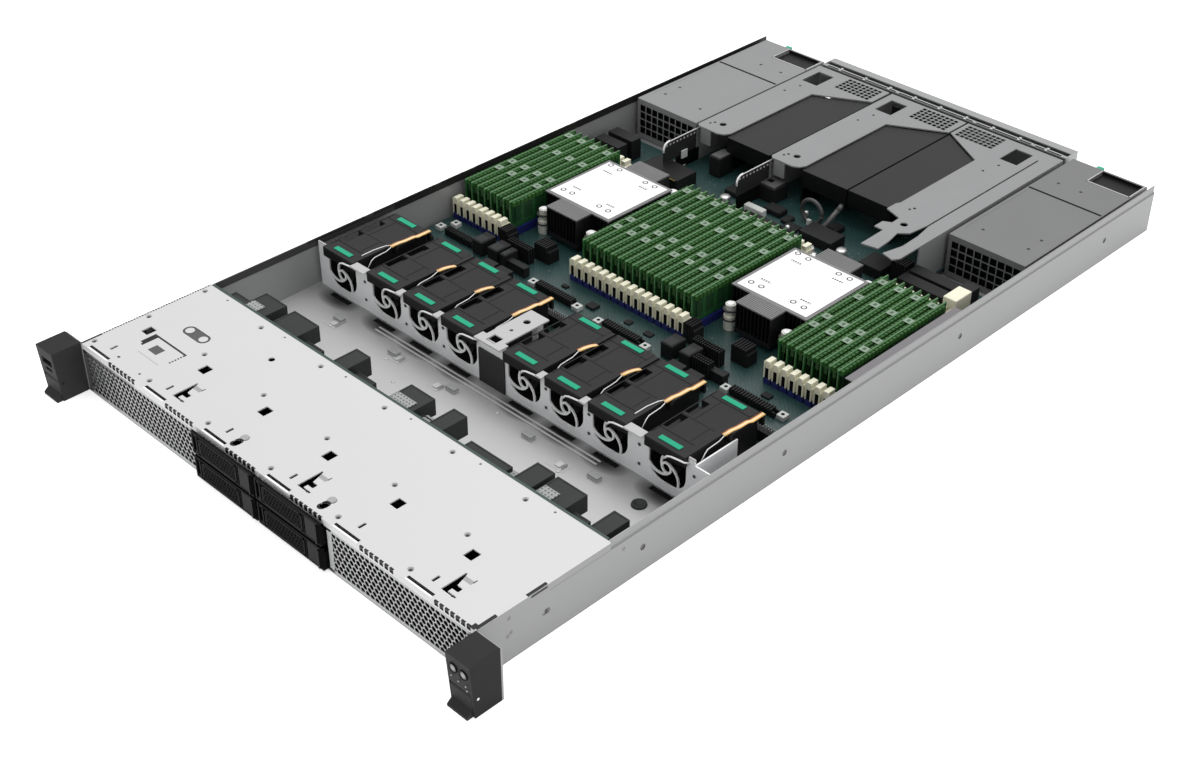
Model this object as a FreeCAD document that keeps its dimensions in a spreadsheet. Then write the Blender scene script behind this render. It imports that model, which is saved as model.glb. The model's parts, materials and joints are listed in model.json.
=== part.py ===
import FreeCAD, Part
import math
import os
from types import SimpleNamespace

import Sketcher

# A 1U rack server with its top cover off: a sheet steel tray that carries a drive bay, a
# backplane, eight fan modules behind a wall of spiral finger guards, a system board with
# two heatsinks and thirty-two memory modules, three risers and two power supplies.
#
# Frame: X across, seen from the front; Y towards the rear; Z up. The origin is on the
# underside, halfway across and halfway between the foremost and the rearmost point.
# Distances called depth are counted backwards from the front face of the chassis.

DIMENSIONS = {
    # chassis
    "chassis_width": 438.5,
    "chassis_depth": 781.0,
    "chassis_height": 43.0,
    "front_reach": 26.6,
    "rear_reach": 8.4,
    "tray_sheet": 1.2,
    "cover_sheet": 1.0,
    "rim_height": 6.5,
    "rim_step": 0.9,
    "dimple_radius": 2.4,
    "dimple_depth": 0.5,
    "side_dimple_height": 21.0,
    "rack_flange_width": 482.6,
    "rack_flange_sheet": 1.5,
    "rack_hole_spacing": 465.1,
    "rack_hole_radius": 3.4,
    "rack_hole_height": 5.7,
    "board_standoff_radius": 3.2,
    "board_standoff_height": 3.8,
    "floor_rib_depth": 203.5,
    "floor_rib_width": 1.6,
    "floor_rib_height": 0.8,
    "floor_rib_gap": 2.6,
    "floor_slot_length": 24.0,
    "floor_slot_width": 5.5,
    "floor_slot_gap": 1.0,
    "cable_post_width": 10.0,
    "cable_post_thickness": 5.0,
    "cable_post_height": 3.4,
    "cable_post_depth": 190.0,
    # drive bay and its cover
    "bay_depth": 116.0,
    "column_pitch": 72.6,
    "lip_height": 5.0,
    "lip_sheet": 1.0,
    "comb_hole_width": 3.7,
    "comb_hole_height": 2.4,
    "comb_pitch": 5.0,
    "comb_start": 36.0,
    "comb_drop": 3.4,
    "edge_slot_start": 7.8,
    "edge_slot_length": 25.0,
    "edge_slot_width": 1.8,
    "edge_slot_depth": 1.8,
    "square_hole_width": 8.0,
    "square_hole_length": 9.0,
    "square_hole_start": 16.8,
    "square_hole_depth": 40.5,
    "key_slot_width": 2.4,
    "key_slot_length": 6.5,
    "key_slot_start": 20.6,
    "key_slot_depth": 10.8,
    "cover_dimple_start": 4.0,
    "cover_dimple_front": 8.5,
    "cover_dimple_middle": 56.0,
    "cover_dimple_rear": 107.0,
    "hook_start": 103.5,
    "hook_depth": 10.0,
    "hook_width": 13.0,
    "hook_length": 21.0,
    "hook_slot": 5.0,
    "hook_line": 1.6,
    "hook_nose": 5.0,
    "hook_nose_gap": 4.5,
    "vent_hole_radius": 2.6,
    "vent_hole_across": -101.0,
    "vent_hole_depth": 87.0,
    "oval_length": 17.0,
    "oval_radius": 5.5,
    "oval_across": -167.0,
    "oval_depth": 67.0,
    "oval_recess": 0.5,
    "oval_boss_radius": 3.6,
    "keyhole_radius": 3.3,
    "keyhole_depth": 9.5,
    "keyhole_left": -36.0,
    "keyhole_right": 60.5,
    "grille_sheet": 1.0,
    "grille_cell": 6.6,
    "grille_pitch": 8.8,
    "grille_rows": 4,
    "grille_margin": 6.0,
    "grille_blank": 20.0,
    # drives
    "cage_sheet": 1.0,
    "cage_rail_width": 3.0,
    "cage_rail_sheet": 0.8,
    "cage_length": 110.0,
    "cage_bar": 6.0,
    "carrier_gap": 0.4,
    "carrier_proud": 4.2,
    "carrier_wall": 1.2,
    "carrier_rail_drop": 3.4,
    "bezel_thickness": 2.0,
    "drive_length": 100.0,
    "drive_thickness": 14.8,
    "drive_setback": 4.0,
    "bezel_slot_width": 2.4,
    "bezel_slot_pitch": 4.4,
    "bezel_slot_margin": 2.6,
    "drive_latch_width": 15.0,
    "drive_latch_thickness": 2.0,
    "drive_latch_margin": 1.6,
    "latch_barrel_radius": 1.25,
    "latch_pin_radius": 0.6,
    "latch_running_gap": 0.05,
    "latch_gap": 0.35,
    "latch_grip": 1.6,
    # backplane
    "backplane_thickness": 2.0,
    "backplane_top_gap": 1.4,
    "backplane_side_gap": 0.95,
    "backplane_vent_width": 40.0,
    "backplane_vent_height": 7.0,
    "backplane_vent_lift": 4.0,
    # fans
    "core_shift": -5.75,
    "fan_first": 34.75,
    "fan_pitch": 44.6,
    "fan_outer_pitch": 55.6,
    "fan_depth": 220.0,
    "fan_length": 71.0,
    "fan_width": 38.0,
    "fan_lift_gap": 0.8,
    "fan_cap_height": 38.0,
    "fan_top": 42.5,
    "fan_lip_reach": 5.6,
    "fan_lip_thickness": 2.6,
    "fan_lip_drop": 4.0,
    "fan_bore_radius": 17.6,
    "fan_axis_height": 21.0,
    "fan_window_width": 8.0,
    "fan_window_length": 19.0,
    "fan_window_floor": 37.4,
    "fan_window_front": 12.0,
    "fan_window_pitch": 22.5,
    "fan_tab_width": 20.0,
    "fan_tab_length": 4.6,
    "fan_tab_rise": 0.5,
    "fan_tab_front": -1.6,
    "fan_tab_rear": 64.5,
    "fan_strut_width": 2.0,
    "fan_strut_start": 28.0,
    "fan_strut_length": 4.0,
    "fan_vane_start": 46.0,
    "fan_vane_length": 16.0,
    "fan_hub_radius": 8.5,
    "fan_shaft_radius": 1.5,
    "fan_shaft_gap": 0.05,
    "rotor_start": 4.0,
    "rotor_length": 22.0,
    "rotor_radius": 16.9,
    "rotor_hub_radius": 9.0,
    "rotor_nose": 2.0,
    "blade_thickness": 1.2,
    "blade_chord": 16.0,
    "blade_twist_root": 9.0,
    "blade_twist_tip": 13.0,
    "blade_count": 7,
    "lead_width": 4.4,
    "lead_thickness": 2.0,
    "lead_gap": 0.3,
    "lead_front": 36.0,
    "lead_rear": 71.0,
    "lead_drop": 10.0,
    "lead_bend": 3.0,
    "clip_thickness": 1.0,
    "clip_length": 4.0,
    # fan wall
    "wall_depth": 218.0,
    "wall_sheet": 1.2,
    "wall_top": 37.0,
    "wall_side_gap": 3.0,
    "post_top": 41.8,
    "guard_opening_width": 35.0,
    "guard_opening_bottom": 7.6,
    "guard_opening_top": 35.4,
    "guard_corner": 13.5,
    "guard_shift": 1.1,
    "guard_ring_radius": 4.2,
    "guard_band": 1.6,
    "guard_arm_radius": 13.0,
    "guard_sweep_top": 84.0,
    "guard_sweep_side": 101.0,
    "guard_sweep_foot": 104.0,
    "end_post_width": 6.0,
    "cheek_length": 44.0,
    "wall_tab_length": 8.0,
    "bridge_width": 20.0,
    "bridge_foot_width": 28.0,
    "bridge_foot_length": 9.5,
    "bridge_front": 212.5,
    "bridge_rear": 268.0,
    "bridge_sheet": 1.2,
    "bridge_square": 9.5,
    "bridge_square_depth": 221.0,
    "bridge_hole_radius": 1.6,
    "bridge_hole_depth": 238.0,
    "bridge_key_radius": 3.0,
    "bridge_key_depth": 254.0,
    "bridge_post": 6.0,
    "divider_width": 28.0,
    "divider_thickness": 1.6,
    "divider_height": 30.0,
    # system board
    "board_front": 296.0,
    "board_thickness": 1.6,
    "board_side_gap": 2.0,
    "board_neck": 277.0,
    "board_neck_depth": 580.0,
    "board_rear": 776.0,
    "bank_offset": 176.5,
    "slot_pitch": 8.0,
    "slot_first": 4.0,
    "socket_front": 361.0,
    "socket_length": 158.0,
    "socket_width": 6.4,
    "socket_height": 7.0,
    "socket_slot": 1.7,
    "socket_slot_depth": 5.0,
    "tower_length": 10.0,
    "tower_height": 16.0,
    "latch_thickness": 4.4,
    "latch_length": 8.0,
    "latch_rise": 4.6,
    "module_length": 133.35,
    "module_height": 31.25,
    "module_thickness": 1.27,
    "module_side_gap": 0.2,
    "chip_thickness": 1.1,
    "chip_height": 18.0,
    "chip_margin": 5.0,
    "cpu_offset": 106.0,
    "cpu_depth": 450.0,
    "cpu_socket_size": 64.0,
    "cpu_socket_height": 4.4,
    "sink_width": 76.0,
    "sink_length": 78.0,
    "sink_neck_width": 36.0,
    "sink_neck_length": 114.0,
    "sink_base": 4.0,
    "sink_plate": 1.2,
    "sink_top": 38.6,
    "fin_thickness": 0.8,
    "fin_pitch": 3.8,
    "nut_radius": 4.2,
    "nut_top": 29.0,
    "nut_collar_radius": 5.4,
    "nut_collar_top": 18.5,
    "nut_across": 28.5,
    "nut_along": 50.0,
    # rear of the chassis
    "psu_width": 73.5,
    "psu_length": 185.0,
    "psu_height": 40.0,
    "psu_offset": 177.0,
    "psu_front": 592.0,
    "psu_clearance": 0.4,
    "psu_cell": 6.4,
    "psu_cell_wall": 1.1,
    "psu_cell_depth": 2.4,
    "psu_cell_rows": 4,
    "psu_groove": 0.5,
    "psu_groove_width": 2.2,
    "psu_groove_depth": 704.5,
    "psu_window_width": 40.0,
    "psu_window_length": 24.0,
    "psu_window_recess": 3.0,
    "psu_fan_radius": 14.0,
    "psu_fan_across": 48.0,
    "psu_inlet_across": 10.5,
    "psu_inlet_width": 17.0,
    "psu_inlet_height": 24.5,
    "psu_inlet_depth": 16.0,
    "psu_handle_reach": 11.6,
    "psu_handle_height": 22.0,
    "psu_handle_width": 4.0,
    "psu_latch_width": 6.0,
    "psu_latch_height": 12.0,
    "psu_latch_length": 18.0,
    "psu_latch_reach": 7.0,
    "psu_latch_gap": 0.4,
    "psu_latch_across": 21.5,
    "psu_latch_cover": 1.6,
    "psu_latch_travel": 3.0,
    "riser_sheet": 1.2,
    "riser_top": 42.6,
    "riser_front": 589.0,
    "riser_corner": 9.0,
    "riser_corner_cut": 3.0,
    "riser_tab_width": 12.0,
    "riser_tab_height": 15.0,
    "riser_tab_gap": 5.0,
    "riser_wing_front": 545.0,
    "riser_wing_top": 39.0,
    "riser_wing_bottom": 19.4,
    "riser_wing_corner": 5.0,
    "riser_rear": 766.0,
    "riser_slope_start": 712.0,
    "riser_slope_end": 739.0,
    "riser_pitch": 87.0,
    "riser_left_edge": -137.0,
    "riser_strip_width": 34.0,
    "riser_reach": 84.0,
    "riser_right_strip": 55.0,
    "riser_right_reach": 101.0,
    "riser_right_side_front": 556.0,
    "riser_right_hole_across": 104.0,
    "riser_right_keyhole_depth": 576.0,
    "riser_right_keyhole_across": 106.0,
    "riser_hole_width": 18.0,
    "riser_hole_length": 26.0,
    "riser_hole_depth": 729.0,
    "riser_vent": 2.6,
    "riser_vent_pitch": 5.0,
    "riser_vent_columns": 8,
    "riser_vent_rows": 5,
    "riser_vent_depth": 739.5,
    "card_thickness": 1.6,
    "card_top": 41.0,
    "card_gap": 1.0,
    "card_front": 592.0,
    "card_edge_gap": 1.2,
    "card_apron": 16.0,
    "edge_card_thickness": 2.0,
    "panel_sheet": 1.2,
    "panel_width": 274.0,
    "panel_lip": 9.0,
    "panel_rail": 4.0,
    "panel_rail_depth": 770.0,
    "port_wall": 1.2,
    "port_depth": 14.0,
    "network_port_width": 14.0,
    "network_port_height": 11.0,
    "network_port_across": -60.0,
    "network_port_pitch": 18.0,
    "stick_port_width": 14.4,
    "stick_port_height": 7.6,
    "stick_port_across": 0.0,
    "stick_port_pitch": 18.0,
    "video_port_width": 17.0,
    "video_port_height": 9.0,
    "video_port_across": 40.0,
    # ears
    "ear_depth": 24.8,
    "ear_rake": 3.1,
    "ear_gap": 0.35,
    "ear_screw_passage": 5.2,
    "button_radius": 2.7,
    "button_gap": 0.08,
    "button_proud": 0.7,
    "button_length": 7.0,
    "button_travel": 1.2,
    "button_height": 33.8,
    "power_button_across": 235.4,
    "locate_button_across": 226.2,
    "lever_width": 18.4,
    "lever_centre": 230.0,
    "lever_thickness": 2.2,
    "lever_lip": 1.8,
    "lever_lip_root": 5.5,
    "lever_gap": 0.4,
    "lever_pin_radius": 1.0,
    "lever_pin_height": 15.5,
    "lever_barrel_radius": 3.2,
    "ear_port_width": 13.4,
    "ear_port_height": 5.6,
    "ear_port_depth": 9.0,
    "ear_port_lift": 32.0,
    "ear_slot_width": 8.8,
    "ear_slot_height": 2.8,
    "ear_slot_lift": 25.0,
}

# Left edge, width, reach behind the backplane, lowest point and height of each plug.
BACKPLANE_PLUGS = (
    (-203.0, 19.0, 10.0, 22.0, 16.0),
    (-182.0, 26.0, 24.0, 26.0, 14.0),
    (-146.0, 30.0, 24.0, 26.0, 14.0),
    (-114.0, 20.0, 11.0, 20.0, 14.0),
    (-72.0, 16.0, 25.0, 24.0, 16.0),
    (-54.0, 20.0, 12.0, 20.0, 14.0),
    (-8.0, 26.0, 24.0, 26.0, 14.0),
    (19.5, 15.0, 11.0, 20.0, 14.0),
    (36.0, 14.0, 26.0, 24.0, 16.0),
    (70.0, 42.0, 12.0, 22.0, 15.0),
    (123.0, 17.0, 25.0, 24.0, 16.0),
    (144.0, 28.0, 24.0, 26.0, 14.0),
    (174.0, 14.0, 11.0, 20.0, 14.0),
    (196.0, 14.0, 25.0, 24.0, 16.0),
)

# Left edge, front depth, width, length and height of each block on the system board.
BOARD_BLOCKS = (
    (-206.0, 302.0, 26.0, 8.0, 16.0),
    (-172.0, 303.0, 44.0, 7.0, 9.0),
    (-125.0, 307.0, 14.0, 14.0, 14.0),
    (-108.0, 307.0, 14.0, 14.0, 14.0),
    (-47.0, 301.0, 48.0, 7.0, 10.0),
    (28.0, 299.0, 48.0, 7.0, 10.0),
    (84.0, 307.0, 14.0, 14.0, 14.0),
    (102.0, 307.0, 14.0, 14.0, 14.0),
    (156.0, 302.0, 48.0, 7.0, 10.0),
    (-126.0, 335.0, 30.0, 6.0, 9.0),
    (92.0, 335.0, 30.0, 6.0, 9.0),
    (-152.0, 530.0, 46.0, 26.0, 12.0),
    (-206.0, 527.0, 30.0, 12.0, 20.0),
    (-206.0, 545.0, 30.0, 12.0, 20.0),
    (-22.0, 529.0, 28.0, 12.0, 9.0),
    (22.0, 545.0, 34.0, 20.0, 9.0),
    (90.0, 540.0, 22.0, 22.0, 9.0),
    (138.0, 527.0, 44.0, 12.0, 20.0),
    (138.0, 543.0, 44.0, 12.0, 20.0),
    (187.5, 528.0, 12.0, 24.0, 27.0),
)

# Plan of the right riser's top sheet, as distance across and depth, with its two fingers and
# the slit between them.
RIGHT_RISER_PLAN = (
    (36.2, 739.0),
    (81.5, 712.0),
    (81.5, 604.0),
    (79.5, 600.0),
    (79.5, 588.0),
    (96.5, 582.0),
    (97.0, 572.0),
    (90.0, 568.0),
    (90.0, 557.0),
    (99.0, 557.0),
    (99.5, 527.0),
    (114.5, 530.0),
    (113.5, 546.0),
    (110.5, 561.0),
    (118.0, 568.0),
    (120.6, 588.0),
    (120.6, 750.0),
    (122.2, 750.0),
    (122.2, 588.0),
    (125.4, 569.0),
    (126.2, 547.0),
    (121.5, 527.0),
    (133.0, 524.0),
    (136.8, 530.0),
    (136.8, 766.0),
    (36.2, 766.0),
)

SIDE_DIMPLES = (57.0, 146.0, 290.0, 500.0, 706.0)
STANDOFF_ROWS = (320.0, 520.0, 570.0)
STANDOFF_COLUMNS = (-205.0, -137.0, -70.0, 58.0, 126.0, 207.0)
CABLE_POSTS = (-160.0, -92.0, -24.0, 60.0, 128.0)
# Where the three arms leave the hub ring, in degrees from +X as seen from the front.
ARM_STARTS = (200, 320, 80)
COMB_HOLES = 7
COLUMNS = 6
SIDE_SLOTS = 8
HALF = 0.5
OVERCUT = 1.0

SHEET_NAME = "Sizes"
ORIGIN = FreeCAD.Vector(0, 0, 0)
ALONG_X = FreeCAD.Vector(1, 0, 0)
ALONG_Y = FreeCAD.Vector(0, 1, 0)
ALONG_Z = FreeCAD.Vector(0, 0, 1)
VALUE_COLUMN = "B"

os.makedirs("parts", exist_ok=True)
document = FreeCAD.newDocument("RackServer")
sub_parts = []


class Size:
    """A size of the sheet, or a formula of such sizes, with its present value in mm."""

    def __init__(self, text, value):
        self.text = text
        self.value = float(value)

    def join(self, sign, other, value):
        """Write the two operands and the sign between them as one bracketed formula."""
        return Size("(%s %s %s)" % (self.text, sign, other.text), value)

    def __add__(self, other):
        other = as_size(other)
        return self.join("+", other, self.value + other.value)

    def __radd__(self, other):
        return as_size(other) + self

    def __sub__(self, other):
        other = as_size(other)
        return self.join("-", other, self.value - other.value)

    def __rsub__(self, other):
        return as_size(other) - self

    def __mul__(self, other):
        other = as_size(other)
        return self.join("*", other, self.value * other.value)

    def __rmul__(self, other):
        return as_size(other) * self

    def __truediv__(self, other):
        other = as_size(other)
        return self.join("/", other, self.value / other.value)

    def __neg__(self):
        return as_size(0) - self

    def __float__(self):
        return self.value


def as_size(number):
    """Take a size as it is, and a plain number as a formula of itself."""
    if isinstance(number, Size):
        return number
    return Size("(%.6g)" % number, number)


def fill_sheet(dimensions):
    """Write every dimension into the sheet under its alias, and give them back as sizes."""
    sheet = document.addObject("Spreadsheet::Sheet", SHEET_NAME)
    sizes = {}
    for row, (alias, value) in enumerate(dimensions.items(), start=1):
        cell = "%s%d" % (VALUE_COLUMN, row)
        sheet.set("A%d" % row, alias.replace("_", " "))
        sheet.set(cell, "%.6g" % value)
        sheet.setAlias(cell, alias)
        sizes[alias] = Size("%s.%s" % (SHEET_NAME, alias), value)
    document.recompute()
    return SimpleNamespace(**sizes)


def list_sizes(dimensions, group, names, rows):
    """Name each value of a list of rows, so that the sheet holds it, and return the aliases."""
    aliases = []
    for index, row in enumerate(rows, start=1):
        values = row if isinstance(row, tuple) else (row,)
        row_aliases = ["%s_%d_%s" % (group, index, name) for name in names]
        dimensions.update(zip(row_aliases, values))
        aliases.append(row_aliases)
    return aliases


plug_aliases = list_sizes(DIMENSIONS, "plug", ("left", "width", "reach", "foot", "height"), BACKPLANE_PLUGS)
block_aliases = list_sizes(DIMENSIONS, "block", ("left", "front", "width", "length", "height"), BOARD_BLOCKS)
dimple_aliases = list_sizes(DIMENSIONS, "side_dimple", ("depth",), SIDE_DIMPLES)
standoff_row_aliases = list_sizes(DIMENSIONS, "standoff_row", ("depth",), STANDOFF_ROWS)
standoff_column_aliases = list_sizes(DIMENSIONS, "standoff_column", ("across",), STANDOFF_COLUMNS)
right_riser_aliases = list_sizes(DIMENSIONS, "right_riser", ("across", "depth"), RIGHT_RISER_PLAN)
cable_post_aliases = list_sizes(DIMENSIONS, "cable_post", ("across",), CABLE_POSTS)
g = fill_sheet(DIMENSIONS)


def sizes_of(alias_rows):
    """Look up rows of aliases as rows of sizes."""
    return [[getattr(g, alias) for alias in row] for row in alias_rows]


# Lines that several sub-parts share.
half_width = g.chassis_width * HALF
front = g.front_reach - (g.front_reach + g.chassis_depth + g.rear_reach) * HALF
inner_half_width = half_width - g.tray_sheet
floor_top = g.tray_sheet
board_bottom = floor_top + g.board_standoff_height
board_top = board_bottom + g.board_thickness
cover_bottom = g.chassis_height - g.cover_sheet
lip_bottom = g.chassis_height - g.lip_height
bay_rear = front + g.bay_depth
wall_front = front + g.wall_depth
fan_front = front + g.fan_depth
rear_end = front + g.chassis_depth + g.rear_reach
FAN_SIDES = ((-1, 3), (-1, 2), (-1, 1), (-1, 0), (1, 0), (1, 1), (1, 2), (1, 3))


def fan_centre(side, index):
    """The first three fans of each half stand at one pitch, and the outermost further out."""
    steps = min(index, 2)
    extra = index - steps
    return g.core_shift + side * (g.fan_first + steps * g.fan_pitch + extra * g.fan_outer_pitch)


fan_centres = [fan_centre(side, index) for side, index in FAN_SIDES]


def bind(item, name, size):
    """Bind a property to a size, or set it where it is a plain number."""
    if isinstance(size, Size):
        item.setExpression(name, size.text)
    else:
        item.setExpression(name, as_size(size).text)


def place(item, x, y, z):
    """Bind the three coordinates of an object's place."""
    for axis, size in zip("xyz", (x, y, z)):
        bind(item, "Placement.Base.%s" % axis, size)
    return item


def finish(item, label):
    """Name a sub-part and put it on the list of those to be written."""
    item.Label = label
    sub_parts.append(item)
    return item


def block(x, y, z, length, width, height):
    """A box by its lowest corner and its sizes along X, Y and Z."""
    box = document.addObject("Part::Box", "Block")
    for name, size in zip(("Length", "Width", "Height"), (length, width, height)):
        bind(box, name, size)
    return place(box, x, y, z)


def rod(x, y, z, radius, length, axis):
    """A cylinder from its first centre along X, Y or Z."""
    cylinder = document.addObject("Part::Cylinder", "Rod")
    bind(cylinder, "Radius", radius)
    bind(cylinder, "Height", length)
    cylinder.Placement = FreeCAD.Placement(ORIGIN, FreeCAD.Rotation(ALONG_Z, axis))
    return place(cylinder, x, y, z)


def fuse(items):
    """Join several solids into one."""
    union = document.addObject("Part::MultiFuse", "Union")
    union.Shapes = items
    union.Refine = True
    return union


def cut(base, tools):
    """Take one or several tools away from a solid."""
    difference = document.addObject("Part::Cut", "Difference")
    difference.Base = base
    difference.Tool = tools[0] if len(tools) == 1 else fuse(tools)
    difference.Refine = True
    return difference


def group(items):
    """Keep separate solids together in one sub-part."""
    compound = document.addObject("Part::Compound", "Group")
    compound.Links = items
    return compound


def prism(label, corners, role, start, length):
    """An outline drawn on an origin plane and padded along that plane's axis."""
    body = new_body(label)
    pad(body, outline_sketch(body, role, start, [corners]), length)
    return body


def new_body(label):
    """An empty body, which holds one solid."""
    body = document.addObject("PartDesign::Body", label)
    body.Label = label
    return body


def origin_feature(body, role):
    """One of the body's own origin planes or axes."""
    for feature in body.Origin.OriginFeatures:
        if feature.Role == role:
            return feature
    raise ValueError("no origin feature called %s" % role)


def new_sketch(body, role, start):
    """A sketch parallel to an origin plane. The XZ plane's normal is -Y, so its shift is turned."""
    sketch = body.newObject("Sketcher::SketchObject", "Sketch")
    sketch.AttachmentSupport = [(origin_feature(body, role), "")]
    sketch.MapMode = "FlatFace"
    shift = -as_size(start) if role == "XZ_Plane" else start
    bind(sketch, "AttachmentOffset.Base.z", shift)
    return sketch


def hold(sketch, kind, size, *targets):
    """Add one constraint and bind it to its size."""
    index = sketch.addConstraint(Sketcher.Constraint(kind, *targets, float(size)))
    bind(sketch, "Constraints[%d]" % index, size)


def hold_point(sketch, geometry, point, place_in_sketch):
    """Hold a point of the sketch at its two sizes."""
    hold(sketch, "DistanceX", place_in_sketch[0], -1, 1, geometry, point)
    hold(sketch, "DistanceY", place_in_sketch[1], -1, 1, geometry, point)


def draw_outline(sketch, corners):
    """A closed outline of straight edges, held at each corner."""
    first = sketch.GeometryCount
    count = len(corners)
    points = [FreeCAD.Vector(float(x), float(y), 0) for x, y in corners]
    for index in range(count):
        edge = Part.LineSegment(points[index], points[(index + 1) % count])
        sketch.addGeometry(edge, False)
    for index in range(count):
        edge = first + index
        following = first + (index + 1) % count
        sketch.addConstraint(Sketcher.Constraint("Coincident", edge, 2, following, 1))
        hold_point(sketch, edge, 1, corners[index])


def draw_circle(sketch, x, y, radius):
    """A circle held at its centre and radius."""
    centre = FreeCAD.Vector(float(x), float(y), 0)
    circle = sketch.addGeometry(Part.Circle(centre, ALONG_Z, float(radius)), False)
    hold(sketch, "Radius", radius, circle)
    hold_point(sketch, circle, 3, (x, y))


def draw_slot(sketch, x, y, length, radius):
    """A slot along the sketch's first axis: two half circles and two tangent lines."""
    left = FreeCAD.Vector(float(x) - float(length) * HALF, float(y), 0)
    right = FreeCAD.Vector(float(x) + float(length) * HALF, float(y), 0)
    rise = FreeCAD.Vector(0, float(radius), 0)
    quarter = math.pi * HALF
    circles = [Part.Circle(centre, ALONG_Z, float(radius)) for centre in (left, right)]
    left_arc = sketch.addGeometry(Part.ArcOfCircle(circles[0], quarter, 3 * quarter), False)
    right_arc = sketch.addGeometry(Part.ArcOfCircle(circles[1], -quarter, quarter), False)
    lower = sketch.addGeometry(Part.LineSegment(left - rise, right - rise), False)
    upper = sketch.addGeometry(Part.LineSegment(right + rise, left + rise), False)
    for arc, arc_end, line, line_end in ((left_arc, 2, lower, 1), (lower, 2, right_arc, 1),
                                         (right_arc, 2, upper, 1), (upper, 2, left_arc, 1)):
        sketch.addConstraint(Sketcher.Constraint("Tangent", arc, arc_end, line, line_end))
    sketch.addConstraint(Sketcher.Constraint("Equal", left_arc, right_arc))
    hold(sketch, "Radius", radius, left_arc)
    hold_point(sketch, left_arc, 3, (x - length * HALF, y))
    hold_point(sketch, right_arc, 3, (x + length * HALF, y))


def rectangle(x, y, width, height):
    """The corners of a rectangle by its lowest corner and its two sizes."""
    return [(x, y), (x + width, y), (x + width, y + height), (x, y + height)]


def centred(x, y, width, height):
    """The corners of a rectangle about its centre."""
    return rectangle(x - width * HALF, y - height * HALF, width, height)


def outline_sketch(body, role, start, outlines):
    """A sketch of one or several closed outlines."""
    sketch = new_sketch(body, role, start)
    for corners in outlines:
        draw_outline(sketch, corners)
    return sketch


def pad(body, sketch, length):
    """Pad a sketch towards +X, +Y or +Z."""
    feature = body.newObject("PartDesign::Pad", "Pad")
    feature.Profile = sketch
    feature.Reversed = is_turned(sketch)
    bind(feature, "Length", length)
    document.recompute()
    return feature


def is_turned(sketch):
    """Tell whether the sketch's plane faces the negative side of its axis."""
    return sketch.AttachmentSupport[0][0].Role == "XZ_Plane"


def pocket(body, sketch, length):
    """Cut a sketch towards +X, +Y or +Z, and make sure that something was cut."""
    before = body.Shape.Volume
    feature = body.newObject("PartDesign::Pocket", "Pocket")
    feature.Profile = sketch
    feature.Reversed = not is_turned(sketch)
    bind(feature, "Length", length)
    document.recompute()
    if body.Shape.Volume >= before:
        raise ValueError("a pocket of %s cuts nothing" % body.Label)
    return feature


def repeat(body, feature, role, count, pitch, second=None):
    """Repeat a feature in a row, or in rows and columns, at the given pitch."""
    pattern = body.newObject("PartDesign::LinearPattern", "Pattern")
    pattern.Originals = [feature]
    pattern.Direction = (origin_feature(body, role), [""])
    pattern.Mode = "Spacing"
    pattern.Occurrences = count
    bind(pattern, "Offset", pitch)
    if second:
        second_role, second_count, second_pitch = second
        pattern.Direction2 = (origin_feature(body, second_role), [""])
        pattern.Mode2 = "Extent"
        pattern.Occurrences2 = second_count
        bind(pattern, "Length2", second_pitch * (second_count - 1))
    body.Tip = pattern
    document.recompute()
    return pattern


def wall_profile(side, top, with_rim):
    """Half of the tray's section, from the middle of the floor out and up one side wall."""
    outside = side * half_width
    inside = side * inner_half_width
    if not with_rim:
        return [(outside, 0), (outside, top), (inside, top), (inside, floor_top)]
    step = side * g.rim_step
    bend = g.chassis_height - g.rim_height
    return [(outside, 0), (outside, bend), (outside - step, bend + g.rim_step), (outside - step, top),
            (inside - step, top), (inside - step, bend), (inside, bend - g.rim_step), (inside, floor_top)]


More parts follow.
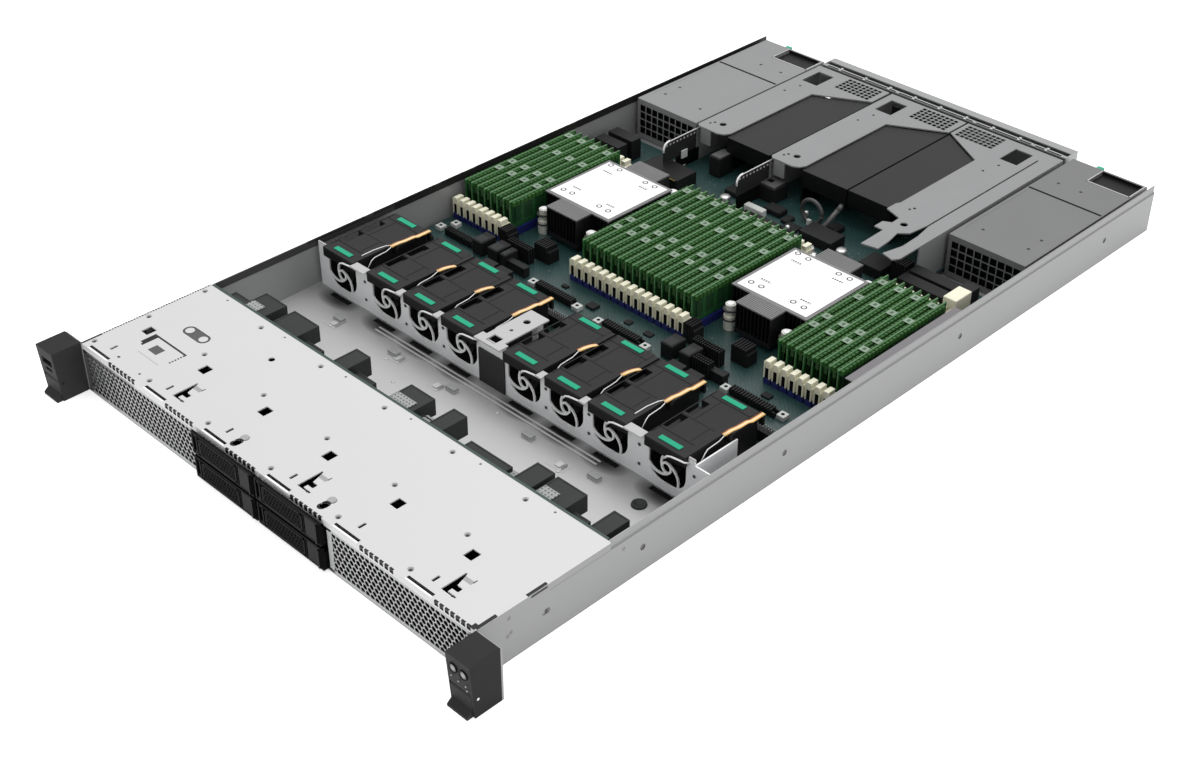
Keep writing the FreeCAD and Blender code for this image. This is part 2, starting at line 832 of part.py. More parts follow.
def chassis_tray():
    """The folded tray: floor, side walls with a stepped rim, rack flanges and embossed floor."""
    body = new_body("chassis_tray")
    bay = wall_profile(1, cover_bottom, False) + wall_profile(-1, cover_bottom, False)[::-1]
    rear = wall_profile(1, g.chassis_height, True) + wall_profile(-1, g.chassis_height, True)[::-1]
    pad(body, outline_sketch(body, "XZ_Plane", front, [bay]), g.bay_depth)
    pad(body, outline_sketch(body, "XZ_Plane", bay_rear, [rear]), g.chassis_depth - g.bay_depth)
    flange_width = g.rack_flange_width * HALF - half_width
    flanges = [rectangle(left, 0, flange_width + g.tray_sheet, cover_bottom)
               for left in (inner_half_width, -half_width - flange_width)]
    pad(body, outline_sketch(body, "XZ_Plane", front, flanges), g.rack_flange_sheet)
    holes = new_sketch(body, "XZ_Plane", front - OVERCUT)
    for side in (-1, 1):
        draw_circle(holes, side * g.rack_hole_spacing * HALF, g.rack_hole_height, g.rack_hole_radius)
    pocket(body, holes, g.rack_flange_sheet + 2 * OVERCUT)
    tail = rectangle(-g.panel_width * HALF, front + g.chassis_depth - OVERCUT, g.panel_width,
                     g.rear_reach + OVERCUT - g.panel_sheet)
    pad(body, outline_sketch(body, "XY_Plane", 0, [tail]), floor_top)
    rib_length = 2 * g.fan_first + 4 * g.fan_pitch
    rib_left = g.core_shift - rib_length * HALF
    ribs = [rectangle(rib_left, front + g.floor_rib_depth + step * (g.floor_rib_width + g.floor_rib_gap),
                      rib_length, g.floor_rib_width) for step in (0, 1)]
    pad(body, outline_sketch(body, "XY_Plane", floor_top, ribs), g.floor_rib_height)
    slot_front = wall_front - g.floor_slot_gap - g.floor_slot_width
    slots = [rectangle(centre - g.floor_slot_length * HALF, slot_front, g.floor_slot_length,
                       g.floor_slot_width) for centre in fan_centres]
    pocket(body, outline_sketch(body, "XY_Plane", -OVERCUT, slots), floor_top + 2 * OVERCUT)
    for side in (-1, 1):
        start = half_width - g.dimple_depth if side > 0 else -half_width - OVERCUT
        dimples = new_sketch(body, "YZ_Plane", start)
        for depth, in sizes_of(dimple_aliases):
            draw_circle(dimples, front + depth, g.side_dimple_height, g.dimple_radius)
        pocket(body, dimples, g.dimple_depth + OVERCUT)
    finish(body, "chassis_tray")


def floor_fittings():
    """The loose pieces pressed into the floor: the board's standoffs and the cable posts."""
    standoffs = [rod(across, front + depth, floor_top, g.board_standoff_radius, g.board_standoff_height, ALONG_Z)
                 for depth, in sizes_of(standoff_row_aliases) for across, in sizes_of(standoff_column_aliases)]
    posts = [block(across - g.cable_post_width * HALF, front + g.cable_post_depth, floor_top,
                   g.cable_post_width, g.cable_post_thickness, g.cable_post_height)
             for across, in sizes_of(cable_post_aliases)]
    finish(group(standoffs + posts), "floor_fittings")


def hook_outline(x, y):
    """The cut of a spring hook: a slot with a thin line that runs round a nosed tongue."""
    right = x + g.hook_width
    top = y + g.hook_length
    line = g.hook_line
    return [(x, y), (right, y), (right, y + line), (x + g.hook_slot, y + line),
            (x + g.hook_slot, y + g.hook_nose), (x + g.hook_slot + g.hook_nose, y + g.hook_nose),
            (x + g.hook_slot + g.hook_nose, y + g.hook_nose + g.hook_nose_gap),
            (x + g.hook_slot, y + g.hook_nose + g.hook_nose_gap), (x + line, top), (x, top)]


def front_bay_cover():
    """The fixed cover over the drive bay, folded down in front as a lip with a comb of holes."""
    body = new_body("front_bay_cover")
    plate = rectangle(-half_width, front, g.chassis_width, g.bay_depth)
    pad(body, outline_sketch(body, "XY_Plane", cover_bottom, [plate]), g.cover_sheet)
    lip = rectangle(-inner_half_width, lip_bottom, 2 * inner_half_width, g.lip_height - g.cover_sheet * HALF)
    pad(body, outline_sketch(body, "XZ_Plane", front, [lip]), g.lip_sheet)
    first_column = -g.column_pitch * (COLUMNS * HALF)
    through = g.cover_sheet + 2 * OVERCUT
    below = cover_bottom - OVERCUT
    comb = [rectangle(first_column + g.comb_start + step * g.comb_pitch, g.chassis_height - g.comb_drop,
                      g.comb_hole_width, g.comb_hole_height - g.cover_sheet) for step in range(COMB_HOLES)]
    combed = pocket(body, outline_sketch(body, "XZ_Plane", front - OVERCUT, comb), g.lip_sheet + 2 * OVERCUT)
    repeat(body, combed, "X_Axis", COLUMNS, g.column_pitch)
    openings = [rectangle(first_column + g.edge_slot_start, front + g.edge_slot_depth,
                          g.edge_slot_length, g.edge_slot_width),
                rectangle(first_column + g.square_hole_start, front + g.square_hole_depth,
                          g.square_hole_width, g.square_hole_length),
                rectangle(first_column + g.key_slot_start, front + g.key_slot_depth,
                          g.key_slot_width, g.key_slot_length)]
    column = pocket(body, outline_sketch(body, "XY_Plane", below, openings), through)
    repeat(body, column, "X_Axis", COLUMNS, g.column_pitch)
    dimples = new_sketch(body, "XY_Plane", g.chassis_height - g.dimple_depth)
    for depth in (g.cover_dimple_front, g.cover_dimple_middle, g.cover_dimple_rear):
        draw_circle(dimples, first_column + g.cover_dimple_start, front + depth, g.dimple_radius)
    repeat(body, pocket(body, dimples, g.dimple_depth + OVERCUT), "X_Axis", COLUMNS, g.column_pitch)
    hook_corners = hook_outline(first_column + g.hook_start, front + g.hook_depth)
    hook = outline_sketch(body, "XY_Plane", below, [hook_corners])
    repeat(body, pocket(body, hook, through), "X_Axis", COLUMNS // 2, 2 * g.column_pitch)
    holes = new_sketch(body, "XY_Plane", below)
    draw_circle(holes, g.vent_hole_across, front + g.vent_hole_depth, g.vent_hole_radius)
    for across in (g.keyhole_left, g.keyhole_right):
        draw_circle(holes, across, front + g.keyhole_depth, g.keyhole_radius)
    pocket(body, holes, through)
    recess = new_sketch(body, "XY_Plane", g.chassis_height - g.oval_recess)
    draw_slot(recess, g.oval_across, front + g.oval_depth, g.oval_length, g.oval_radius)
    for side in (-HALF, HALF):
        draw_circle(recess, g.oval_across + side * g.oval_length, front + g.oval_depth, g.oval_boss_radius)
    pocket(body, recess, g.oval_recess + OVERCUT)
    finish(body, "front_bay_cover")


def hexagon(x, y, across_flats):
    """A hexagon that stands on one corner."""
    radius = across_flats / math.sqrt(3)
    corners = []
    for step in range(6):
        angle = math.pi * (HALF + step / 3)
        corners.append((x + radius * math.cos(angle), y + radius * math.sin(angle)))
    return corners


def grille(label, left, width, holes_left, hole_columns):
    """A perforated front plate with staggered rows of hexagons."""
    body = new_body(label)
    plate = rectangle(left, floor_top, width, lip_bottom - floor_top)
    pad(body, outline_sketch(body, "XZ_Plane", front, [plate]), g.grille_sheet)
    row_pitch = g.grille_pitch * (math.sqrt(3) * HALF)
    middle = (floor_top + lip_bottom) * HALF
    first_row = middle - row_pitch * (g.grille_rows - 1) * HALF
    rows = round(float(g.grille_rows))
    for offset in range(2):
        centre = (holes_left + g.grille_pitch * (HALF * (offset + 1)), first_row + offset * row_pitch)
        cell = outline_sketch(body, "XZ_Plane", front - OVERCUT, [hexagon(*centre, g.grille_cell)])
        cell_cut = pocket(body, cell, g.grille_sheet + 2 * OVERCUT)
        repeat(body, cell_cut, "X_Axis", hole_columns, g.grille_pitch, ("Z_Axis", rows // 2, 2 * row_pitch))
    finish(body, label)


def grilles():
    """The two perforated plates that close the front beside the drives."""
    inner = g.column_pitch + g.cage_sheet + g.carrier_gap
    width = inner_half_width - inner
    columns = math.floor((float(width) - 2 * float(g.grille_margin)) / float(g.grille_pitch))
    grille("grille_right", inner, width, inner + g.grille_margin * HALF, columns)
    shorter = math.floor((float(width - g.grille_blank) - float(g.grille_margin)) / float(g.grille_pitch))
    grille("grille_left", -inner_half_width, width, -inner_half_width + g.grille_blank, shorter)


cage_half = g.column_pitch + g.cage_sheet + g.carrier_gap
bay_opening = cover_bottom - floor_top
shelf_height = floor_top + bay_opening * HALF
carrier_width = g.column_pitch - g.cage_sheet * HALF - 2 * g.carrier_gap
carrier_height = bay_opening * HALF - g.cage_rail_sheet - 2 * g.carrier_gap
CARRIERS = ((0, 0), (0, 1), (1, 0), (1, 1))


def drive_cage():
    """Three upright walls with rails for the upper carriers, tied by a bar behind the drives."""
    start = front + g.grille_sheet
    middle = block(-g.cage_sheet * HALF, start, floor_top, g.cage_sheet, g.cage_length, bay_opening)
    pieces = [middle]
    for side in (-1, 1):
        left = cage_half - g.cage_sheet if side > 0 else -cage_half
        pieces.append(block(left, start, floor_top, g.cage_sheet, g.cage_length, bay_opening))
    rail_bottom = shelf_height - g.cage_rail_sheet * HALF
    rail_edges = (-cage_half, -g.cage_rail_width - g.cage_sheet * HALF, 0,
                  cage_half - g.cage_rail_width - g.cage_sheet)
    for left in rail_edges:
        length = g.cage_rail_width + g.cage_sheet
        pieces.append(block(left, start, rail_bottom, length, g.cage_length, g.cage_rail_sheet))
    bar_front = start + g.cage_length - g.cage_bar
    pieces.append(block(-cage_half, bar_front, floor_top, 2 * cage_half, g.cage_bar, g.cage_sheet))
    finish(fuse(pieces), "drive_cage")


def carrier_corner(column, row):
    """The lowest front corner of a carrier's outline in its bay."""
    left = (column - 1) * g.column_pitch + g.carrier_gap + g.cage_sheet * HALF * column
    half_rail = g.cage_rail_sheet * HALF
    bottom = floor_top + g.carrier_gap + row * (bay_opening * HALF + half_rail)
    return left, bottom


def drive_carrier(index, column, row):
    """A tray with two side rails, the drive on it, and a slotted bezel with a latch recess."""
    left, bottom = carrier_corner(column, row)
    label = "drive_carrier_%d" % index
    body = new_body(label)
    bezel_front = front - g.carrier_proud
    height = carrier_height - g.cage_rail_sheet * HALF
    tray_length = g.carrier_proud + g.drive_setback + g.drive_length
    rail_top = bottom + height - g.carrier_rail_drop
    channel = [(left, bottom), (left + carrier_width, bottom), (left + carrier_width, rail_top),
               (left + carrier_width - g.carrier_wall, rail_top),
               (left + carrier_width - g.carrier_wall, bottom + g.carrier_wall),
               (left + g.carrier_wall, bottom + g.carrier_wall), (left + g.carrier_wall, rail_top),
               (left, rail_top)]
    pad(body, outline_sketch(body, "XZ_Plane", bezel_front, [channel]), tray_length)
    bezel = rectangle(left, bottom, carrier_width, height)
    pad(body, outline_sketch(body, "XZ_Plane", bezel_front, [bezel]), g.bezel_thickness)
    drive = rectangle(left, bottom, carrier_width, g.drive_thickness)
    pad(body, outline_sketch(body, "XZ_Plane", front + g.drive_setback, [drive]), g.drive_length)
    recess_left = left + carrier_width - g.drive_latch_width - g.drive_latch_margin - 2 * g.latch_gap
    slot_height = height - 2 * g.bezel_slot_margin - g.carrier_wall
    slot = rectangle(left + g.bezel_slot_margin, bottom + g.carrier_wall + g.bezel_slot_margin,
                     g.bezel_slot_width, slot_height)
    slot_cut = pocket(body, outline_sketch(body, "XZ_Plane", bezel_front - OVERCUT, [slot]),
                      g.bezel_thickness + OVERCUT)
    span = float(recess_left - left - 2 * g.bezel_slot_margin)
    repeat(body, slot_cut, "X_Axis", math.floor(span / float(g.bezel_slot_pitch)) + 1, g.bezel_slot_pitch)
    recess = rectangle(recess_left, bottom + g.carrier_wall, g.drive_latch_width + 2 * g.latch_gap,
                       height - 2 * g.carrier_wall)
    pocket(body, outline_sketch(body, "XZ_Plane", bezel_front - OVERCUT, [recess]),
           g.bezel_thickness + OVERCUT)
    pin = new_sketch(body, "XY_Plane", bottom + g.carrier_wall * HALF)
    draw_circle(pin, recess_left + g.latch_gap + g.latch_barrel_radius,
                bezel_front + g.latch_barrel_radius, g.latch_pin_radius)
    pad(body, pin, height - g.carrier_wall)
    finish(body, label)
    drive_latch(index, recess_left + g.latch_gap, bottom + g.carrier_wall + g.latch_gap,
                height - 2 * g.carrier_wall - 2 * g.latch_gap, bezel_front)


def drive_latch(index, left, bottom, height, bezel_front):
    """The lever in a carrier's recess: a barrel round the hinge pin, a plate and a grip lip."""
    plate_length = g.drive_latch_width - g.latch_barrel_radius
    hinge = left + g.latch_barrel_radius
    plate = block(hinge, bezel_front, bottom, plate_length, g.drive_latch_thickness, height)
    barrel = rod(hinge, bezel_front + g.latch_barrel_radius, bottom, g.latch_barrel_radius, height, ALONG_Z)
    lip = block(left + g.drive_latch_width - g.latch_grip, bezel_front - g.latch_grip, bottom,
                g.latch_grip, g.latch_grip, height)
    bore = rod(hinge, bezel_front + g.latch_barrel_radius, bottom - OVERCUT,
               g.latch_pin_radius + g.latch_running_gap, height + 2 * OVERCUT, ALONG_Z)
    finish(cut(fuse([plate, barrel, lip]), [bore]), "drive_latch_%d" % index)


def backplane():
    """The upright circuit board behind the drives, with a low row of air vents."""
    body = new_body("backplane")
    half = inner_half_width - g.backplane_side_gap
    plate = rectangle(-half, floor_top, 2 * half, cover_bottom - g.backplane_top_gap - floor_top)
    pad(body, outline_sketch(body, "XZ_Plane", bay_rear, [plate]), g.backplane_thickness)
    first_column = -g.column_pitch * (COLUMNS * HALF)
    vent = rectangle(first_column + (g.column_pitch - g.backplane_vent_width) * HALF,
                     floor_top + g.backplane_vent_lift, g.backplane_vent_width, g.backplane_vent_height)
    vent_cut = pocket(body, outline_sketch(body, "XZ_Plane", bay_rear - OVERCUT, [vent]),
                      g.backplane_thickness + 2 * OVERCUT)
    repeat(body, vent_cut, "X_Axis", COLUMNS, g.column_pitch)
    finish(body, "backplane")


def backplane_plugs():
    """The plug housings on the rear of the backplane, each with a shallow mouth in its top."""
    rear_face = bay_rear + g.backplane_thickness
    pieces = []
    for left, width, reach, foot, height in sizes_of(plug_aliases):
        shell = block(left, rear_face, foot, width, reach, height)
        rim = g.port_wall
        mouth = block(left + rim, rear_face + rim, foot + height - rim, width - 2 * rim,
                      reach - 2 * rim, rim + OVERCUT)
        pieces.append(cut(shell, [mouth]))
    finish(group(pieces), "backplane_connectors")


def guard_opening(centre):
    """A fan opening: square above, with two large round corners below."""
    left = centre - g.guard_opening_width * HALF
    bottom = g.guard_opening_bottom
    corner = g.guard_corner
    start = wall_front - OVERCUT
    through = g.wall_sheet + 2 * OVERCUT
    upper = block(left, start, bottom + corner, g.guard_opening_width, through,
                  g.guard_opening_top - bottom - corner)
    lower = block(left + corner, start, bottom, g.guard_opening_width - 2 * corner, through, corner + OVERCUT)
    corners = [rod(x, start, bottom + corner, corner, through, ALONG_Y)
               for x in (left + corner, left + g.guard_opening_width - corner)]
    return fuse([upper, lower] + corners)


def ring(x, z, radius, sweep=None, turn=0.0):
    """A flat ring in the sheet of the wall, or the part of one that sweeps on from a turn."""
    outer = rod(x, wall_front, z, radius + g.guard_band * HALF, g.wall_sheet, ALONG_Y)
    if sweep:
        bind(outer, "Angle", sweep)
        upright = outer.Placement.Rotation
        outer.Placement.Rotation = FreeCAD.Rotation(ALONG_Y, turn).multiply(upright)
    inner = rod(x, wall_front - OVERCUT, z, radius - g.guard_band * HALF, g.wall_sheet + 2 * OVERCUT, ALONG_Y)
    return cut(outer, [inner])


def guard(centre):
    """A hub ring held by three arms that leave it on a tangent and spiral out to the opening."""
    x = centre - g.guard_shift
    pieces = [ring(x, g.fan_axis_height, g.guard_ring_radius)]
    reach = g.guard_arm_radius - g.guard_ring_radius
    for sweep, start in zip((g.guard_sweep_top, g.guard_sweep_side, g.guard_sweep_foot), ARM_STARTS):
        angle = math.radians(start)
        pieces.append(ring(x - reach * math.cos(angle), g.fan_axis_height - reach * math.sin(angle),
                           g.guard_arm_radius, sweep, -start))
    return pieces


def fan_wall():
    """The sheet in front of the fans, cut so that each opening keeps a hub ring on spiral arms."""
    half = inner_half_width - g.wall_side_gap
    sheet = g.wall_sheet
    plate = block(-half, wall_front, floor_top, 2 * half, sheet, g.wall_top - floor_top)
    pierced = cut(plate, [guard_opening(centre) for centre in fan_centres])
    pieces = [pierced]
    for centre in fan_centres:
        pieces += guard(centre)
    gap = g.fan_width * HALF + g.lead_gap
    lefts = [centre + gap for centre in fan_centres[:-1]]
    rights = [centre - gap for centre in fan_centres[1:]]
    middle = len(fan_centres) // 2 - 1
    for index, (left, right) in enumerate(zip(lefts, rights)):
        pieces.append(block(left, wall_front, g.wall_top - OVERCUT, right - left, sheet,
                            g.post_top - g.wall_top + OVERCUT))
        if index != middle:
            pieces.append(block(left, wall_front - g.wall_tab_length + sheet, g.post_top - sheet,
                                right - left, g.wall_tab_length, sheet))
    ends = ((-half, fan_centres[0] - gap), (fan_centres[-1] + gap, fan_centres[-1] + gap + g.end_post_width))
    for left, right in ends:
        pieces.append(block(left, wall_front, g.wall_top - OVERCUT, right - left, sheet,
                            g.post_top - g.wall_top + OVERCUT))
    cheek_left = fan_centres[-1] + gap + g.lead_width + g.lead_gap + g.lever_gap
    pieces.append(block(cheek_left, wall_front, floor_top, sheet, g.cheek_length, g.wall_top - floor_top))
    finish(fuse(pieces), "fan_wall")


def fan_bridge():
    """The bracket between the middle fans: a plate on the wall's post with a leg at its rear."""
    body = new_body("fan_bridge")
    foot = (g.bridge_foot_width * HALF, g.bridge_front, g.bridge_front + g.bridge_foot_length)
    strip = (g.bridge_width * HALF, g.bridge_front + g.bridge_foot_length, g.bridge_rear)
    right_side = [(g.core_shift + half, front + depth) for half, *depths in (foot, strip) for depth in depths]
    left_side = [(g.core_shift - half, front + depth) for half, *depths in (foot, strip) for depth in depths]
    pad(body, outline_sketch(body, "XY_Plane", g.post_top, [right_side + left_side[::-1]]), g.bridge_sheet)
    leg = rectangle(g.core_shift - g.bridge_post * HALF, front + g.bridge_rear - g.bridge_post,
                    g.bridge_post, g.bridge_post)
    pad(body, outline_sketch(body, "XY_Plane", floor_top, [leg]),
        g.post_top - floor_top + g.bridge_sheet * HALF)
    through = g.bridge_sheet + 2 * OVERCUT
    square = centred(g.core_shift, front + g.bridge_square_depth, g.bridge_square, g.bridge_square)
    pocket(body, outline_sketch(body, "XY_Plane", g.post_top - OVERCUT, [square]), through)
    holes = new_sketch(body, "XY_Plane", g.post_top - OVERCUT)
    draw_circle(holes, g.core_shift, front + g.bridge_hole_depth, g.bridge_hole_radius)
    draw_circle(holes, g.core_shift, front + g.bridge_key_depth, g.bridge_key_radius)
    pocket(body, holes, through)
    finish(body, "fan_bridge")


def fan_divider():
    """The dark blank that closes the wall between the two middle fans."""
    plate = block(g.core_shift - g.divider_width * HALF, wall_front - g.divider_thickness, floor_top,
                  g.divider_width, g.divider_thickness, g.divider_height)
    finish(plate, "fan_divider")


def fan_housing(index, centre):
    """A duct with a cap, a strutted motor mount, rear vanes and the lead clipped to its side."""
    left = centre - g.fan_width * HALF
    bottom = floor_top + g.fan_lift_gap
    axis_height = g.fan_axis_height
    body = block(left, fan_front, bottom, g.fan_width, g.fan_length, g.fan_top - bottom)
    lip = block(left, fan_front - g.fan_lip_reach, g.fan_cap_height, g.fan_width, g.fan_lip_reach + OVERCUT,
                g.fan_top - g.fan_cap_height)
    brow = block(left, fan_front - g.fan_lip_reach, g.fan_cap_height - g.fan_lip_drop, g.fan_width,
                 g.fan_lip_thickness, g.fan_lip_drop + OVERCUT)
    tabs = [block(centre - g.fan_tab_width * HALF, fan_front + start, g.fan_top - OVERCUT, g.fan_tab_width,
                  g.fan_tab_length, g.fan_tab_rise + OVERCUT) for start in (g.fan_tab_front, g.fan_tab_rear)]
    clips = [block(centre + g.fan_width * HALF - OVERCUT, fan_front + start,
                   g.fan_top - g.lead_thickness - g.clip_thickness, OVERCUT + g.lead_gap + g.lead_width,
                   g.clip_length, g.clip_thickness)
             for start in (g.lead_front + g.lead_bend, g.lead_rear - g.lead_bend - g.clip_length)]
    bore = rod(centre, fan_front - OVERCUT, axis_height, g.fan_bore_radius,
               g.fan_length + 2 * OVERCUT, ALONG_Y)
    windows = [block(left - OVERCUT, fan_front + g.fan_window_front + step * g.fan_window_pitch,
                     g.fan_window_floor, g.fan_window_width + OVERCUT, g.fan_window_length,
                     g.fan_top - g.fan_window_floor + OVERCUT) for step in (0, 1)]
    shell = cut(fuse([body, lip, brow] + tabs + clips), [bore] + windows)
    struts = []
    for start, length in ((g.fan_strut_start, g.fan_strut_length), (g.fan_vane_start, g.fan_vane_length)):
        struts.append(rod(centre, fan_front + start, axis_height, g.fan_hub_radius, length, ALONG_Y))
        span = 2 * g.fan_bore_radius + g.fan_strut_width
        struts.append(block(centre - span * HALF, fan_front + start, axis_height - g.fan_strut_width * HALF,
                            span, length, g.fan_strut_width))
        struts.append(block(centre - g.fan_strut_width * HALF, fan_front + start, axis_height - span * HALF,
                            g.fan_strut_width, length, span))
    shaft_start = g.rotor_start + g.rotor_nose
    struts.append(rod(centre, fan_front + shaft_start, axis_height, g.fan_shaft_radius,
                      g.fan_strut_start - shaft_start + OVERCUT, ALONG_Y))
    duct = fuse([shell] + struts)
    finish(group([duct, fan_lead(centre)]), "fan_housing_%d" % index)


def fan_lead(centre):
    """The flat bundle of fan wires: up from its plug, over two clips and down into the window."""
    left = centre + g.fan_width * HALF + g.lead_gap
    top = g.fan_top
    low = top - g.lead_thickness
    rear = fan_front + g.lead_rear
    start = fan_front + g.lead_front
    foot = top - g.lead_drop
    bend = g.lead_bend
    thin = g.lead_thickness
    corners = [(start, foot + bend), (start, top - bend), (start + bend, top), (rear + thin - bend, top),
               (rear + thin, top - bend), (rear + thin, foot), (rear, foot), (rear, low - bend * HALF),
               (rear - bend * HALF, low), (start + thin + bend * HALF, low),
               (start + thin, low - bend * HALF), (start + thin, foot + bend)]
    return prism("lead", corners, "YZ_Plane", left, g.lead_width)


def fan_rotor(index, centre):
    """A hub turned about its shaft, with twisted blades set round it."""
    label = "fan_rotor_%d" % index
    body = new_body(label)
    bore = g.fan_shaft_radius + g.fan_shaft_gap
    start = g.rotor_start
    end = g.rotor_start + g.rotor_length
    profile = [(bore, start), (g.rotor_hub_radius - g.rotor_nose, start),
               (g.rotor_hub_radius, start + g.rotor_nose), (g.rotor_hub_radius, end), (bore, end)]
    hub_sketch = outline_sketch(body, "XY_Plane", 0, [profile])
    hub = body.newObject("PartDesign::Revolution", "Hub")
    hub.Profile = hub_sketch
    hub.ReferenceAxis = (origin_feature(body, "Y_Axis"), [""])
    document.recompute()
    middle = (start + end) * HALF
    root = blade_section(body, g.rotor_hub_radius - g.blade_thickness, middle, g.blade_twist_root)
    tip = blade_section(body, g.rotor_radius, middle, g.blade_twist_tip)
    blade = body.newObject("PartDesign::AdditiveLoft", "Blade")
    blade.Profile = root
    blade.Sections = [tip]
    blade.Ruled = True
    document.recompute()
    ring = body.newObject("PartDesign::PolarPattern", "Blades")
    ring.Originals = [blade]
    ring.Axis = (origin_feature(body, "Y_Axis"), [""])
    ring.Angle = 360
    ring.Occurrences = round(float(g.blade_count))
    body.Tip = ring
    document.recompute()
    beyond = g.rotor_radius + g.blade_twist_tip
    rim = [(g.rotor_radius, start), (beyond, start), (beyond, end), (g.rotor_radius, end)]
    tips = body.newObject("PartDesign::Groove", "Tips")
    tips.Profile = outline_sketch(body, "XY_Plane", 0, [rim])
    tips.ReferenceAxis = (origin_feature(body, "Y_Axis"), [""])
    body.Tip = tips
    document.recompute()
    place(body, centre, fan_front, g.fan_axis_height)
    finish(body, label)


def blade_section(body, radius, middle, twist):
    """A blade's section at a radius: a parallelogram whose chord leans by the twist."""
    half_chord = g.blade_chord * HALF
    half_twist = twist * HALF
    half_thickness = g.blade_thickness * HALF
    start = middle - half_chord
    end = middle + half_chord
    corners = [(start, -half_twist - half_thickness), (end, half_twist - half_thickness),
               (end, half_twist + half_thickness), (start, half_thickness - half_twist)]
    return outline_sketch(body, "YZ_Plane", radius, [corners])


def system_board():
    """The main circuit board: full width under the memory, with a neck between the power supplies."""
    half = inner_half_width - g.board_side_gap
    neck = g.board_neck * HALF
    corners = [(-half, g.board_front), (half, g.board_front), (half, g.board_neck_depth),
               (neck, g.board_neck_depth), (neck, g.board_rear), (-neck, g.board_rear),
               (-neck, g.board_neck_depth), (-half, g.board_neck_depth)]
    outline = [(x, front + y) for x, y in corners]
    finish(prism("system_board", outline, "XY_Plane", board_bottom, g.board_thickness), "system_board")


def board_blocks():
    """The plug and header housings and the processor sockets that stand on the board."""
    pieces = [block(left, front + depth, board_top, width, length, height)
              for left, depth, width, length, height in sizes_of(block_aliases)]
    for side in (-1, 1):
        pieces.append(block(g.core_shift + side * g.cpu_offset - g.cpu_socket_size * HALF,
                            front + g.cpu_depth - g.cpu_socket_size * HALF, board_top,
                            g.cpu_socket_size, g.cpu_socket_size, g.cpu_socket_height))
    pieces += [port_shell(across, width, height) for across, width, height in port_columns()]
    finish(group(pieces), "board_connectors")


def bank_slots(bank):
    """The centre lines of one bank's memory slots."""
    if bank == "middle":
        return [g.core_shift + side * (g.slot_first + step * g.slot_pitch)
                for side in (-1, 1) for step in range(SIDE_SLOTS)]
    side = -1 if bank == "left" else 1
    first = (SIDE_SLOTS - 1) * HALF
    return [g.core_shift + side * g.bank_offset + (step - first) * g.slot_pitch for step in range(SIDE_SLOTS)]


def memory_bank(bank):
    """One bank of memory: slotted sockets with a latch in each end tower, and a module in each."""
    socket_pieces = []
    module_pieces = []
    y = front + g.socket_front
    rear = y + g.socket_length
    module_front = y + (g.socket_length - g.module_length) * HALF
    module_bottom = board_top + g.socket_height - g.socket_slot_depth + g.module_side_gap
    for centre in bank_slots(bank):
        left = centre - g.socket_width * HALF
        bar = block(left, y, board_top, g.socket_width, g.socket_length, g.socket_height)
        towers = [block(left, start, board_top, g.socket_width, g.tower_length, g.tower_height)
                  for start in (y, rear - g.tower_length)]
        slot = block(centre - g.socket_slot * HALF, module_front - g.module_side_gap,
                     board_top + g.socket_height - g.socket_slot_depth, g.socket_slot,
                     g.module_length + 2 * g.module_side_gap, g.tower_height)
        socket_pieces.append(cut(fuse([bar] + towers), [slot]))
        for start in (y, rear - g.latch_length):
            latch = block(centre - g.latch_thickness * HALF, start, board_top + g.tower_height,
                          g.latch_thickness, g.latch_length, g.latch_rise)
            socket_pieces.append(latch)
        card = block(centre - g.module_thickness * HALF, module_front, module_bottom, g.module_thickness,
                     g.module_length, g.module_height)
        thick = g.module_thickness + 2 * g.chip_thickness
        chip_bottom = module_bottom + g.module_height - g.chip_height - g.chip_margin
        chips = block(centre - thick * HALF, module_front + g.chip_margin, chip_bottom, thick,
                      g.module_length - 2 * g.chip_margin, g.chip_height)
        module_pieces.append(fuse([card, chips]))
    finish(group(socket_pieces), "dimm_sockets_%s" % bank)
    finish(group(module_pieces), "dimm_modules_%s" % bank)


def heatsink(label, side):
    """A finned heatsink with a longer middle part, and the four nuts that hold it down."""
    centre = g.core_shift + side * g.cpu_offset
    depth = front + g.cpu_depth
    bottom = board_top + g.cpu_socket_height
    body = new_body(label + "_stack")
    wide = centred(centre, depth, g.sink_width, g.sink_length)
    neck = centred(centre, depth, g.sink_neck_width, g.sink_neck_length)
    for height, thickness in ((bottom, g.sink_base), (g.sink_top - g.sink_plate, g.sink_plate)):
        if height is bottom:
            pad(body, outline_sketch(body, "XY_Plane", height, [wide]), thickness)
            fin_bottom = bottom + g.sink_base * HALF
            fin_height = g.sink_top - g.sink_plate * HALF - fin_bottom
            rows = ((g.sink_width, g.sink_length), (g.sink_neck_width, g.sink_neck_length))
            for width, length in rows:
                count = math.floor(float(width - g.fin_thickness) / float(g.fin_pitch)) + 1
                first = centre - g.fin_pitch * ((count - 1) * HALF) - g.fin_thickness * HALF
                fin = rectangle(first, depth - length * HALF, g.fin_thickness, length)
                fin_pad = pad(body, outline_sketch(body, "XY_Plane", fin_bottom, [fin]), fin_height)
                repeat(body, fin_pad, "X_Axis", count, g.fin_pitch)
        else:
            pad(body, outline_sketch(body, "XY_Plane", height, [wide]), thickness)
        pad(body, outline_sketch(body, "XY_Plane", height, [neck]), thickness)
    nuts = [fuse([rod(centre + across * g.nut_across, depth + along * g.nut_along, board_top, radius,
                      top - board_top, ALONG_Z)
                  for radius, top in ((g.nut_radius, g.nut_top), (g.nut_collar_radius, g.nut_collar_top))])
            for across in (-1, 1) for along in (-1, 1)]
    finish(group([body] + nuts), label)


